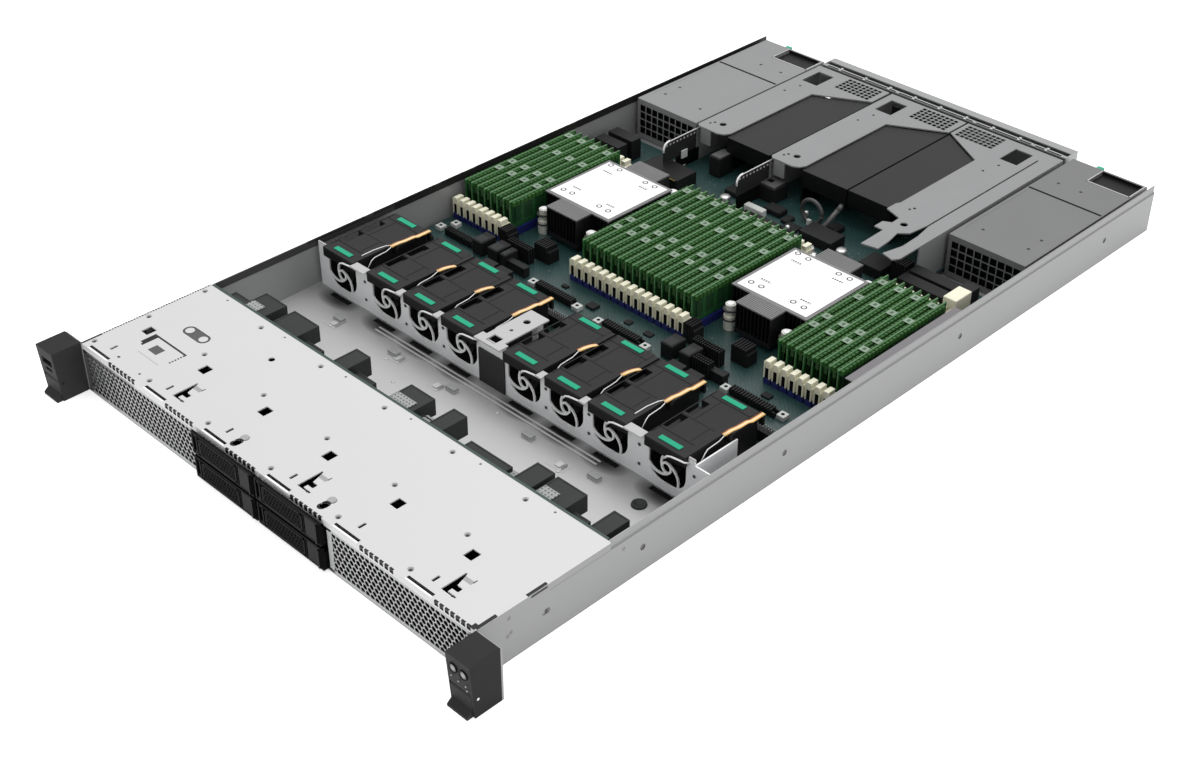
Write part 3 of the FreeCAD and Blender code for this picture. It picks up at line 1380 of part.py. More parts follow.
def riser_outline(left, right, inner):
    """The plan of a riser's top sheet: a strip along its left side and a slanted foot at the rear."""
    start = g.riser_front
    corner = g.riser_corner
    cut_off = g.riser_corner_cut
    corners = [(left, start + cut_off), (left + cut_off, start), (inner - corner, start),
               (inner - cut_off, start + cut_off), (inner, start + corner), (inner, g.riser_slope_start),
               (right, g.riser_slope_end), (right, g.riser_rear), (left, g.riser_rear)]
    return [(x, front + y) for x, y in corners]


def riser_side(body, left, start, top):
    """The upright side of a riser bracket, from the board up to the top sheet."""
    side = rectangle(left, front + start, g.riser_sheet, g.riser_rear - start)
    pad(body, outline_sketch(body, "XY_Plane", board_top, [side]), top - board_top + g.riser_sheet * HALF)


def riser_holes(body, top, hole_middle, key_across, key_depth):
    """The big hole at the rear of the strip and the screw hole at its front end."""
    through = g.riser_sheet + 2 * OVERCUT
    big = rectangle(hole_middle - g.riser_hole_width * HALF, front + g.riser_hole_depth,
                    g.riser_hole_width, g.riser_hole_length)
    pocket(body, outline_sketch(body, "XY_Plane", top - OVERCUT, [big]), through)
    screw = new_sketch(body, "XY_Plane", top - OVERCUT)
    draw_circle(screw, key_across, front + key_depth, g.keyhole_radius)
    pocket(body, screw, through)


def riser_vents(body, top, foot_left, foot_width):
    """The rows of square holes in the foot."""
    vents_width = g.riser_vent_pitch * (g.riser_vent_columns - 1) + g.riser_vent
    vent = rectangle(foot_left + (foot_width - vents_width) * HALF, front + g.riser_vent_depth,
                     g.riser_vent, g.riser_vent)
    vent_cut = pocket(body, outline_sketch(body, "XY_Plane", top - OVERCUT, [vent]),
                      g.riser_sheet + 2 * OVERCUT)
    repeat(body, vent_cut, "X_Axis", round(float(g.riser_vent_columns)), g.riser_vent_pitch,
           ("Y_Axis", round(float(g.riser_vent_rows)), g.riser_vent_pitch))


def riser_bracket(name, left, right, inner):
    """A folded riser bracket: rounded strip, slanted foot, upright side with a wing in front of it."""
    body = new_body("riser_bracket_%s" % name)
    top = g.riser_top - g.riser_sheet
    pad(body, outline_sketch(body, "XY_Plane", top, [riser_outline(left, right, inner)]), g.riser_sheet)
    riser_side(body, left, g.riser_front + g.riser_corner_cut, top)
    wing_front = front + g.riser_wing_front
    wing_rear = front + g.riser_front + g.riser_corner
    corner = g.riser_wing_corner
    wing = [(wing_front, g.riser_wing_bottom), (wing_rear, g.riser_wing_bottom), (wing_rear, g.riser_wing_top),
            (wing_front + corner, g.riser_wing_top), (wing_front, g.riser_wing_top - corner)]
    pad(body, outline_sketch(body, "YZ_Plane", left, [wing]), g.riser_sheet)
    tab = rectangle(left + g.riser_tab_gap, front + g.riser_front, g.riser_tab_width, g.riser_sheet)
    pad(body, outline_sketch(body, "XY_Plane", top - g.riser_tab_height, [tab]),
        g.riser_tab_height + g.riser_sheet * HALF)
    key_depth = g.riser_front + g.riser_strip_width * HALF
    strip_middle = (left + inner) * HALF
    riser_holes(body, top, strip_middle, strip_middle, key_depth)
    riser_vents(body, top, inner, right - inner)
    finish(body, "riser_bracket_%s" % name)


def right_riser_bracket(left, right, inner):
    """The wide right bracket: a sheet with two long fingers, a slit between them and one upright side."""
    body = new_body("riser_bracket_right")
    top = g.riser_top - g.riser_sheet
    plan = [(across, front + depth) for across, depth in sizes_of(right_riser_aliases)]
    pad(body, outline_sketch(body, "XY_Plane", top, [plan]), g.riser_sheet)
    riser_side(body, right - g.riser_sheet, g.riser_right_side_front, top)
    riser_holes(body, top, g.riser_right_hole_across, g.riser_right_keyhole_across,
                g.riser_right_keyhole_depth)
    riser_vents(body, top, left, inner - left)
    finish(body, "riser_bracket_right")


def riser_card(left, right, inner, mirrored):
    """The dark card beside a bracket's strip and the upright edge card that carries it."""
    near, far = (inner - g.card_gap, left) if mirrored else (inner + g.card_gap, right)
    low = g.card_top - g.card_thickness
    slope_gap = g.card_edge_gap
    corners = [(near, g.card_front), (far, g.card_front), (far, g.riser_slope_end - slope_gap),
               (near, g.riser_slope_start - slope_gap)]
    outline = [(x, front + y) for x, y in corners]
    plate = prism("plate", outline[::-1] if mirrored else outline, "XY_Plane", low, g.card_thickness)
    apron_left = far if mirrored else near
    apron = block(apron_left, front + g.card_front, g.card_top - g.card_apron,
                  near - far if mirrored else far - near, g.card_thickness, g.card_apron)
    edge_left = near - g.edge_card_thickness if mirrored else near
    edge = block(edge_left, front + g.card_front, board_top, g.edge_card_thickness,
                 g.riser_slope_start - slope_gap - g.card_front, low - board_top + g.card_thickness * HALF)
    return fuse([plate, apron, edge])


def risers():
    """Three risers side by side: two alike, and a mirrored one on the right."""
    cards = []
    for step, name in enumerate(("left", "middle")):
        left = g.riser_left_edge + step * g.riser_pitch
        riser_bracket(name, left, left + g.riser_reach, left + g.riser_strip_width)
        cards.append(riser_card(left, left + g.riser_reach, left + g.riser_strip_width, False))
    plan = sizes_of(right_riser_aliases)
    right = plan[-2][0]
    left = right - g.riser_right_reach
    right_riser_bracket(left, right, right - g.riser_right_strip)
    cards.append(riser_card(left, right, right - g.riser_right_strip, True))
    finish(group(cards), "riser_cards")


def power_supply(label, side):
    """A closed case with a square-celled intake, a groove over its lid and a handle behind."""
    left = side * g.psu_offset - g.psu_width * HALF
    bottom = floor_top + g.psu_clearance
    top = bottom + g.psu_height
    start = front + g.psu_front
    rear = start + g.psu_length
    body = new_body(label)
    pad(body, outline_sketch(body, "XZ_Plane", start, [rectangle(left, bottom, g.psu_width, g.psu_height)]),
        g.psu_length)
    pitch = g.psu_cell + g.psu_cell_wall
    columns = math.floor(float(g.psu_width - g.psu_cell_wall) / float(pitch))
    grid_left = left + (g.psu_width - pitch * columns + g.psu_cell_wall) * HALF
    rows = round(float(g.psu_cell_rows))
    grid_bottom = bottom + (g.psu_height - pitch * rows + g.psu_cell_wall) * HALF
    cell = rectangle(grid_left, grid_bottom, g.psu_cell, g.psu_cell)
    cell_cut = pocket(body, outline_sketch(body, "XZ_Plane", start - OVERCUT, [cell]),
                      g.psu_cell_depth + OVERCUT)
    repeat(body, cell_cut, "X_Axis", columns, pitch, ("Z_Axis", rows, pitch))
    groove = rectangle(left + g.psu_groove_width, front + g.psu_groove_depth,
                       g.psu_width - 2 * g.psu_groove_width, g.psu_groove_width)
    pocket(body, outline_sketch(body, "XY_Plane", top - g.psu_groove, [groove]), g.psu_groove + OVERCUT)
    window = rectangle(left + g.psu_width - g.psu_window_width - g.psu_groove_width,
                       rear - g.psu_window_length - g.psu_groove_width,
                       g.psu_window_width, g.psu_window_length)
    pocket(body, outline_sketch(body, "XY_Plane", top - g.psu_window_recess, [window]),
           g.psu_window_recess + OVERCUT)
    fan = new_sketch(body, "XZ_Plane", rear - g.psu_cell_depth)
    draw_circle(fan, left + g.psu_fan_across, bottom + g.psu_height * HALF, g.psu_fan_radius)
    pocket(body, fan, g.psu_cell_depth + OVERCUT)
    inlet = centred(left + g.psu_inlet_across, bottom + g.psu_height * HALF, g.psu_inlet_width,
                    g.psu_inlet_height)
    pocket(body, outline_sketch(body, "XZ_Plane", rear - g.psu_inlet_depth, [inlet]),
           g.psu_inlet_depth + OVERCUT)
    handle_left = left + g.psu_width - 2 * g.psu_handle_width
    handle_low = bottom + (g.psu_height - g.psu_handle_height) * HALF
    reach = g.psu_handle_reach
    thick = g.psu_handle_width
    loop = [(rear - OVERCUT, handle_low), (rear + reach, handle_low),
            (rear + reach, handle_low + g.psu_handle_height),
            (rear - OVERCUT, handle_low + g.psu_handle_height),
            (rear - OVERCUT, handle_low + g.psu_handle_height - thick),
            (rear + reach - thick, handle_low + g.psu_handle_height - thick),
            (rear + reach - thick, handle_low + thick), (rear - OVERCUT, handle_low + thick)]
    pad(body, outline_sketch(body, "YZ_Plane", handle_left, [loop]), g.psu_handle_width)
    latch_left = left + g.psu_latch_across
    latch_low = top - g.psu_latch_height - g.psu_latch_cover
    gap = g.psu_latch_gap
    recess = rectangle(latch_left - gap, latch_low - gap, g.psu_latch_width + g.psu_latch_travel + 2 * gap,
                       g.psu_latch_height + 2 * gap)
    pocket(body, outline_sketch(body, "XZ_Plane", rear - g.psu_latch_length - gap, [recess]),
           g.psu_latch_length + gap + OVERCUT)
    finish(body, label)
    latch = block(latch_left, rear - g.psu_latch_length, latch_low, g.psu_latch_width,
                  g.psu_latch_length + g.psu_latch_reach, g.psu_latch_height)
    finish(latch, label.replace("psu", "psu_latch"))


def port_shell(across, width, height):
    """A socket with a blind mouth that opens through the rear panel."""
    wall = g.port_wall
    left = across - width * HALF
    start = rear_end - g.port_depth
    shell = block(left, start, board_top, width, g.port_depth - g.panel_sheet, height)
    mouth = block(left + wall, start + wall, board_top + wall, width - 2 * wall,
                  g.port_depth, height - 2 * wall)
    return cut(shell, [mouth])


def port_columns():
    """Centre, width and height of every socket in the rear panel."""
    ports = [(g.network_port_across + step * g.network_port_pitch, g.network_port_width,
              g.network_port_height) for step in range(3)]
    ports += [(g.stick_port_across + step * g.stick_port_pitch, g.stick_port_width,
               g.stick_port_height) for step in range(2)]
    ports.append((g.video_port_across, g.video_port_width, g.video_port_height))
    return ports


def rear_panel():
    """The rear sheet with a folded top lip, a rail in front of it and windows for the sockets."""
    rear = rear_end
    body = new_body("rear_panel")
    left = -g.panel_width * HALF
    plate = rectangle(left, 0, g.panel_width, g.chassis_height)
    pad(body, outline_sketch(body, "XZ_Plane", rear - g.panel_sheet, [plate]), g.panel_sheet)
    lip = rectangle(left, rear - g.panel_lip, g.panel_width, g.panel_lip - g.panel_sheet * HALF)
    pad(body, outline_sketch(body, "XY_Plane", g.chassis_height - g.panel_sheet, [lip]), g.panel_sheet)
    cheeks = [rectangle(x, front + g.panel_rail_depth, g.panel_sheet,
                        g.chassis_depth + g.rear_reach - g.panel_rail_depth)
              for x in (left, -left - g.panel_sheet)]
    pad(body, outline_sketch(body, "XY_Plane", board_top, cheeks), g.chassis_height - board_top)
    rail = rectangle(left, front + g.panel_rail_depth, g.panel_width, g.panel_rail)
    pad(body, outline_sketch(body, "XY_Plane", g.chassis_height - g.panel_sheet, [rail]), g.panel_sheet)
    wall = g.port_wall
    mouths = [rectangle(across - width * HALF + wall, board_top + wall, width - 2 * wall, height - 2 * wall)
              for across, width, height in port_columns()]
    pocket(body, outline_sketch(body, "XZ_Plane", rear - g.panel_sheet - OVERCUT, mouths),
           g.panel_sheet + 2 * OVERCUT)
    finish(body, "rear_panel")


def ear_face(height):
    """Where the raked front of an ear lies at a height."""
    return front - g.ear_depth + g.ear_rake * (1 - height / g.chassis_height)


def ear_outline():
    """The side view of an ear: straight behind, with a slightly raked front."""
    top = g.chassis_height
    return [(front, 0), (front, top), (ear_face(top), top), (ear_face(as_size(0)), 0)]


def lever_space(side):
    """Left edge of the notch for the release lever at the foot of an ear."""
    return side * g.lever_centre - g.lever_width * HALF - g.lever_gap


lever_pivot_depth = ear_face(g.lever_pin_height) + g.lever_barrel_radius


def ear(label, side):
    """A moulded ear with a screw passage, its controls or sockets, and a notch for the lever."""
    inner = half_width + g.ear_gap
    width = g.rack_flange_width * HALF - inner
    left = inner if side > 0 else -inner - width
    body = new_body(label)
    pad(body, outline_sketch(body, "YZ_Plane", left, [ear_outline()]), width)
    passage = new_sketch(body, "XZ_Plane", front - g.ear_depth - OVERCUT)
    draw_circle(passage, side * g.rack_hole_spacing * HALF, g.rack_hole_height, g.ear_screw_passage)
    pocket(body, passage, g.ear_depth + 2 * OVERCUT)
    notch_start = front - g.ear_depth - OVERCUT
    notch_end = lever_pivot_depth + g.lever_barrel_radius + g.lever_gap
    notch = rectangle(lever_space(side), -OVERCUT, g.lever_width + 2 * g.lever_gap,
                      g.lever_pin_height + g.lever_barrel_radius + g.lever_gap + OVERCUT)
    pocket(body, outline_sketch(body, "XZ_Plane", notch_start, [notch]), notch_end - notch_start)
    pin = new_sketch(body, "YZ_Plane", lever_space(side) - OVERCUT)
    draw_circle(pin, lever_pivot_depth, g.lever_pin_height, g.lever_pin_radius)
    pad(body, pin, g.lever_width + 2 * g.lever_gap + 2 * OVERCUT)
    if side > 0:
        bores = new_sketch(body, "XZ_Plane", front - g.ear_depth - OVERCUT)
        for across in (g.power_button_across, g.locate_button_across):
            draw_circle(bores, across, g.button_height, g.button_radius + g.button_gap)
        pocket(body, bores, OVERCUT + g.button_length + g.button_travel + g.button_gap)
    else:
        for width_of, height_of, lift in ((g.ear_port_width, g.ear_port_height, g.ear_port_lift),
                                          (g.ear_slot_width, g.ear_slot_height, g.ear_slot_lift)):
            mouth = centred(-g.lever_centre, lift, width_of, height_of)
            pocket(body, outline_sketch(body, "XZ_Plane", front - g.ear_depth - OVERCUT, [mouth]),
                   g.ear_port_depth + OVERCUT)
    finish(body, label)


def ear_lever(label, side):
    """The rack release lever: a plate under a barrel, with a slanting lip to pull at its foot."""
    left = side * g.lever_centre - g.lever_width * HALF
    tip = front - g.front_reach
    corners = [(ear_face(g.lever_pin_height), g.lever_pin_height),
               (ear_face(g.lever_lip_root), g.lever_lip_root), (tip, g.lever_lip),
               (tip, 0), (ear_face(as_size(0)) + g.lever_thickness, 0),
               (ear_face(g.lever_pin_height) + g.lever_thickness, g.lever_pin_height)]
    plate = prism("plate", corners, "YZ_Plane", left, g.lever_width)
    barrel = rod(left, lever_pivot_depth, g.lever_pin_height, g.lever_barrel_radius, g.lever_width, ALONG_X)
    bore = rod(left - OVERCUT, lever_pivot_depth, g.lever_pin_height,
               g.lever_pin_radius + g.latch_running_gap, g.lever_width + 2 * OVERCUT, ALONG_X)
    finish(cut(fuse([plate, barrel]), [bore]), label)


def button(label, across):
    """A round push button that slides in its bore in the right ear."""
    face = ear_face(g.button_height) - g.button_proud
    finish(rod(across, face, g.button_height, g.button_radius, g.button_length, ALONG_Y), label)


def build():
    """Build every sub-part in turn, from the front of the chassis to its rear."""
    chassis_tray()
    floor_fittings()
    front_bay_cover()
    grilles()
    drive_cage()
    for index, (column, row) in enumerate(CARRIERS, start=1):
        drive_carrier(index, column, row)
    backplane()
    backplane_plugs()
    fan_wall()
    fan_bridge()
    fan_divider()
    for index, centre in enumerate(fan_centres, start=1):
        fan_housing(index, centre)
        fan_rotor(index, centre)
    system_board()
    board_blocks()
    for bank in ("left", "middle", "right"):
        memory_bank(bank)
    heatsink("heatsink_left", -1)
    heatsink("heatsink_right", 1)
    risers()
    power_supply("psu_left", -1)
    power_supply("psu_right", 1)
    rear_panel()
    ear("ear_left", -1)
    ear("ear_right", 1)
    ear_lever("ear_lever_left", -1)
    ear_lever("ear_lever_right", 1)
    button("power_button", g.power_button_across)
    button("locate_button", g.locate_button_across)


def check():
    """Stop if any object failed to compute or any sub-part has no sound solid."""
    document.recompute()
    for item in document.Objects:
        if "Invalid" in item.State or "Error" in item.State:
            raise ValueError("%s did not compute" % item.Label)
    for item in sub_parts:
        if item.Shape.isNull() or not item.Shape.isValid() or not item.Shape.Solids:
            raise ValueError("%s has no sound solid" % item.Label)


def write():
    """Write each sub-part to a file named after it."""
    for item in sub_parts:
        item.Shape.exportStep("parts/%s.step" % item.Label)
        print("%s: %d solids, %.0f mm3" % (item.Label, len(item.Shape.Solids), item.Shape.Volume))


build()
check()
write()
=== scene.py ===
import json
import math

import bmesh
import bpy
import numpy as np
from mathutils import Matrix, Vector


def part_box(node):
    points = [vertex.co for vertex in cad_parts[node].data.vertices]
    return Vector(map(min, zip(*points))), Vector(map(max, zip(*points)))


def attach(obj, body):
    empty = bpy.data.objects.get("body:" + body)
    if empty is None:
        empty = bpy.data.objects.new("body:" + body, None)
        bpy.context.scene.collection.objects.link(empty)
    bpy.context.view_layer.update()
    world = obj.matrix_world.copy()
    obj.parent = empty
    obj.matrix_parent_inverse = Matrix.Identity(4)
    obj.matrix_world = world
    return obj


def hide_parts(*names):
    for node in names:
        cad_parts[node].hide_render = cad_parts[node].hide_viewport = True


# Looks for a 1U rack server with its top cover off. Places are given in mm as (across, depth,
# height): across as seen from the front, depth backwards from the front edge of the cover over
# the drive bay, and height above the underside. They are worked out from the boxes of the solids
# that carry them, and turned into metres where a mesh is made.

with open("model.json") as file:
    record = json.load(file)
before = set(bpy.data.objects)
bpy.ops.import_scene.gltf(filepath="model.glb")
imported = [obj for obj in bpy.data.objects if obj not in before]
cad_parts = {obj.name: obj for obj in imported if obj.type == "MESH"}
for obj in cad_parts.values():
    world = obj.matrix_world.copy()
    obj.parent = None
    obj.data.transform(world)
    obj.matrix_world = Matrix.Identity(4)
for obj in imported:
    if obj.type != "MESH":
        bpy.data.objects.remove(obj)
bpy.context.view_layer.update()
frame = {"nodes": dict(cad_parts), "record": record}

MM = 0.001
ORIGIN = np.array((0.0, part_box("front_bay_cover")[0].y, 0.0))

nodes = frame["nodes"]
record = frame["record"]
body_of_node = {node: body for body, held in record["behaviour"]["bodies"].items() for node in held}
slot_of_node = {part["node"]: part["material_slot"] for part in record["subparts"]}


def span(node):
    """A node's lowest and highest corners as (across, depth, height)."""
    return [(np.array(corner) - ORIGIN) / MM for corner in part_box(node)]


class Value:
    """A socket in a material. Arithmetic on it adds Math nodes."""

    def __init__(self, paint, socket):
        self.paint = paint
        self.socket = socket

    def math(self, operation, *others):
        return self.paint.node("ShaderNodeMath", {"operation": operation}, [self, *others])

    def __add__(self, other):
        return self.math("ADD", other)

    __radd__ = __add__

    def __sub__(self, other):
        return self.math("SUBTRACT", other)

    def __rsub__(self, other):
        return self.paint.node("ShaderNodeMath", {"operation": "SUBTRACT"}, [other, self])

    def __mul__(self, other):
        return self.math("MULTIPLY", other)

    __rmul__ = __mul__

    def __truediv__(self, other):
        return self.math("DIVIDE", other)

    def __gt__(self, other):
        return self.math("GREATER_THAN", other)

    def __lt__(self, other):
        return self.math("LESS_THAN", other)

    def at_least(self, other):
        return self.math("MAXIMUM", other)

    def at_most(self, other):
        return self.math("MINIMUM", other)

    def fraction(self):
        return self.math("FRACT")

    def size(self):
        return self.math("ABSOLUTE")

    def between(self, low, high):
        """1 where the value lies between two numbers, and 0 elsewhere."""
        return (self > low) * (self < high)

    def to(self, low, high):
        """Bring a 0 to 1 value into a range."""
        return self * (high - low) + low


def near(first, second, radius):
    """1 where two distances at right angles make less than a radius."""
    return (first * first + second * second) < radius ** 2


class Paint:
    """One material while it is put together: its nodes, its shader and its coordinates in mm."""

    def __init__(self, name, **uniform):
        self.material = bpy.data.materials.new(name)
        self.material.use_nodes = True
        self.tree = self.material.node_tree
        self.shader = self.tree.nodes["Principled BSDF"]
        for socket, value in uniform.items():
            self.shader.inputs[socket.replace("_", " ").title().replace("Ior", "IOR")].default_value = value
        self.place = self.node("ShaderNodeTexCoord", output="Object")
        parts = self.node("ShaderNodeSeparateXYZ", {}, [self.place]).socket.node.outputs
        self.across = Value(self, parts["X"]) / MM
        self.depth = (Value(self, parts["Y"]) - ORIGIN[1]) / MM
        self.height = Value(self, parts["Z"]) / MM

    def node(self, kind, settings=(), inputs=(), output=0):
        """Add a node: its settings first, then the value or link of each socket."""
        added = self.tree.nodes.new(kind)
        for name, value in dict(settings).items():
            setattr(added, name, value)
        for name, value in inputs.items() if isinstance(inputs, dict) else enumerate(inputs):
            if isinstance(value, Value):
                self.tree.links.new(value.socket, added.inputs[name])
            else:
                added.inputs[name].default_value = value
        return Value(self, added.outputs[output])

    def noise(self, scale, detail=3.0, stretch=(1.0, 1.0, 1.0)):
        """Fractal noise of about 1 / scale metres, stretched along the axes."""
        mapped = self.node("ShaderNodeMapping", {}, {"Vector": self.place, "Scale": stretch})
        return self.node("ShaderNodeTexNoise", {}, {"Vector": mapped, "Scale": scale, "Detail": detail})

    def mix(self, factor, first, second):
        """Blend two colours, or a colour and a link, by a factor."""
        return self.node("ShaderNodeMix", {"data_type": "RGBA"}, {0: factor, 6: first, 7: second}, output=2)

    def bump(self, height, strength, distance):
        """Turn a height into the shader's normal."""
        self.feed("Normal", self.node("ShaderNodeBump", {}, {"Strength": strength, "Distance": distance,
                                                             "Height": height}))

    def patch(self, left, front, right, rear):
        """1 inside a rectangle seen from above."""
        return self.across.between(left, right) * self.depth.between(front, rear)

    def disc(self, across, depth, radius):
        """1 inside a circle seen from above."""
        return near(self.across - across, self.depth - depth, radius)

    def feed(self, socket, value):
        """Link a varying value to the shader."""
        self.tree.links.new(value.socket, self.shader.inputs[socket])

    def over(self, mask, colour):
        """Put a colour, or a grey given by its level, over the base colour where a mask is 1."""
        below = Value(self, self.shader.inputs["Base Color"].links[0].from_socket)
        self.feed("Base Color", self.mix(mask, below, colour if isinstance(colour, tuple) else grey(colour)))


def grey(level, tint=0.0):
    """A grey of that level, a little bluer with a positive tint."""
    return (level * (1 - tint), level, level * (1 + tint), 1.0)


def shade(colour, factor):
    """A darker or lighter version of a colour."""
    return tuple(min(1.0, channel * factor) for channel in colour[:3]) + (1.0,)


def zinc_sheet(name, level, metallic=0.35):
    """Zinc-plated sheet steel: cloudy spangle, fine rolling grain and a soft sheen."""
    paint = Paint(name, metallic=metallic, specular_ior_level=0.25)
    cloud = paint.noise(26.0, 4.0)
    rolled = paint.noise(900.0, 2.0, (1.0, 0.08, 1.0))
    tone = cloud.to(0.9, 1.1) * rolled.to(0.96, 1.04)
    paint.feed("Base Color", paint.mix(tone * 0.5, grey(level * 0.5, 0.01), grey(level * 1.5, 0.01)))
    paint.feed("Roughness", cloud.to(0.36, 0.5))
    paint.bump(rolled, 0.08, 0.0002)
    return paint


def moulded(name, colour, roughness=0.5, grain=900.0, wear=0.12, **uniform):
    """Moulded plastic: an eroded grain that varies the gloss, and slightly uneven pigment."""
    paint = Paint(name, **uniform)
    fine = paint.noise(grain)
    cloud = paint.noise(40.0)
    paint.feed("Base Color", paint.mix(cloud, shade(colour, 1 - wear), shade(colour, 1 + wear)))
    paint.feed("Roughness", fine.to(roughness - 0.07, roughness + 0.09))
    paint.bump(fine, 0.15, 0.00025)
    return paint


def bare_metal(name, metallic, dark, bright):
    """Bare metal, slightly uneven in tone and in gloss."""
    paint = Paint(name, metallic=metallic)
    paint.feed("Base Color", paint.mix(paint.noise(300.0), dark, bright))
    paint.feed("Roughness", paint.noise(500.0).to(0.25, 0.4))
    return paint


def board_finish(name, colour, pads=True):
    """Solder mask over a circuit board: traces as thin lines of a lighter green, and tiny pads."""
    paint = Paint(name, coat_weight=0.3, coat_roughness=0.2)
    cloud = paint.noise(60.0, 5.0)
    wave = paint.node("ShaderNodeTexWave", {"wave_type": "BANDS", "bands_direction": "DIAGONAL"},
                      {"Vector": paint.place, "Scale": 160.0, "Distortion": 6.0, "Detail": 1.0})
    trace = (wave > 0.82) * 0.5
    mask = paint.mix(trace, paint.mix(cloud, shade(colour, 0.7), shade(colour, 1.35)), shade(colour, 2.2))
    if pads:
        cells = paint.node("ShaderNodeTexVoronoi", {"distance": "CHEBYCHEV"},
                           {"Vector": paint.place, "Scale": 200.0})
        mask = paint.mix((cells < 0.10) * (paint.noise(45.0, 1.0) > 0.60), mask, (0.20, 0.22, 0.20, 1.0))
    paint.feed("Base Color", mask)
    paint.feed("Roughness", cloud.to(0.32, 0.5))
    paint.bump(wave, 0.1, 0.0001)
    return paint


def dress(node, paint):
    """Give a CAD node's object its finish in every slot."""
    mesh = nodes[node].data
    mesh.materials.clear()
    mesh.materials.append(paint.material)


def add_mesh(name, points, faces, paint, node, bevel=0.0, smooth=False, merge=0.0):
    """Make a piece on a node's body from points in mm and one array of faces for each count of corners."""
    mesh = bpy.data.meshes.new(name)
    points = np.asarray(points, float).reshape(-1, 3) * MM + ORIGIN
    corners = np.concatenate([part.ravel() for part in faces]).astype(np.int32)
    totals = np.concatenate([np.full(len(part), part.shape[1]) for part in faces])
    starts = np.concatenate([[0], np.cumsum(totals)[:-1]]).astype(np.int32)
    mesh.vertices.add(len(points))
    mesh.vertices.foreach_set("co", points.ravel())
    mesh.loops.add(len(corners))
    mesh.loops.foreach_set("vertex_index", corners)
    mesh.polygons.add(len(totals))
    mesh.polygons.foreach_set("loop_start", starts)
    mesh.update(calc_edges=True)
    if merge:
        work = bmesh.new()
        work.from_mesh(mesh)
        bmesh.ops.remove_doubles(work, verts=work.verts, dist=merge * MM)
        work.to_mesh(mesh)
        work.free()
    mesh.polygons.foreach_set("use_smooth", np.full(len(mesh.polygons), smooth))
    mesh.materials.append(paint.material)
    piece = bpy.data.objects.new(name, mesh)
    bpy.context.scene.collection.objects.link(piece)
    if bevel:
        modifier = piece.modifiers.new("Bevel", "BEVEL")
        modifier.width = bevel * MM
        modifier.segments = 1
        modifier.limit_method = "ANGLE"
    body, slot_name = body_of_node[node], slot_of_node[node]
    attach(piece, body)
    return piece


BOX_CORNERS = np.array([(x, y, z) for x in (0, 1) for y in (0, 1) for z in (0, 1)])
BOX_FACES = np.array([(0, 1, 3, 2), (4, 6, 7, 5), (0, 4, 5, 1), (2, 3, 7, 6), (0, 2, 6, 4), (1, 5, 7, 3)])


def slabs(name, rows, paint, node, bevel=0.0):
    """Many blocks in one mesh, each given as left, front, foot, right, rear and top.

    A corner is the low corner plus the unit cube's corner times the size.
    """
    rows = np.asarray(rows, float).reshape(-1, 1, 6)
    points = rows[..., :3] + BOX_CORNERS * (rows[..., 3:] - rows[..., :3])
    faces = BOX_FACES + 8 * np.arange(len(rows))[:, None, None]
    return add_mesh(name, points, [faces.reshape(-1, 4)], paint, node, bevel)


def bands(rings, sides):
    """The four-sided faces between rings of points that follow one another."""
    ring = np.arange(rings - 1)[:, None] * sides
    step = np.arange(sides)[None, :]
    following = (step + 1) % sides
    return np.stack([ring + step, ring + following, ring + sides + following, ring + sides + step], -1).reshape(-1, 4)


def posts(name, spots, profile, paint, node, sides=12, axis=2, smooth=True):
    """Turned pieces: at each spot the profile's (radius, height) goes once round the axis.

    A point is spot + radius * (cos a, sin a) across the axis + height along it. The two ends
    of the profile are closed with flat caps.
    """
    spots = np.asarray(spots, float).reshape(-1, 1, 1, 3)
    profile = np.asarray(profile, float)
    angle = 2 * np.pi * np.arange(sides) / sides
    ring = np.zeros((len(profile), sides, 3))
    ring[..., (axis + 1) % 3] = profile[:, :1] * np.cos(angle)
    ring[..., (axis + 2) % 3] = profile[:, :1] * np.sin(angle)
    ring[..., axis] = profile[:, 1:]
    base = len(profile) * sides * np.arange(len(spots))[:, None, None]
    quads = (bands(len(profile), sides)[None] + base).reshape(-1, 4)
    first = (np.arange(sides)[::-1] + base).reshape(-1, sides)
    last = (np.arange(sides) + (len(profile) - 1) * sides + base).reshape(-1, sides)
    return add_mesh(name, spots + ring, [quads, first, last], paint, node, smooth=smooth)


def tube_points(path, radius, sides):
    """A round tube along a path: at each point a circle across the path's direction."""
    path = np.asarray(path, float)
    along = np.gradient(path, axis=0)
    along /= np.linalg.norm(along, axis=1, keepdims=True)
    side = np.cross(along, (0.0, 0.0, 1.0))
    flat = np.linalg.norm(side, axis=1, keepdims=True)
    side = np.where(flat > 1e-3, side / np.maximum(flat, 1e-9), (1.0, 0.0, 0.0))
    rise = np.cross(side, along)
    angle = 2 * np.pi * np.arange(sides) / sides
    circle = side[:, None] * np.cos(angle)[:, None] + rise[:, None] * np.sin(angle)[:, None]
    return (path[:, None] + radius * circle).reshape(-1, 3)


def wires(name, paths, radius, paint, node, sides=8):
    """Round wires along paths in one mesh, each closed at both ends."""
    points, quads, caps = [], [], []
    count = 0
    for path in paths:
        points.append(tube_points(path, radius, sides))
        quads.append(bands(len(path), sides) + count)
        caps.append(np.arange(sides)[::-1][None] + count)
        caps.append(np.arange(sides)[None] + (len(path) - 1) * sides + count)
        count += len(path) * sides
    return add_mesh(name, np.concatenate(points), [np.concatenate(quads), np.concatenate(caps)],
                    paint, node, smooth=True)


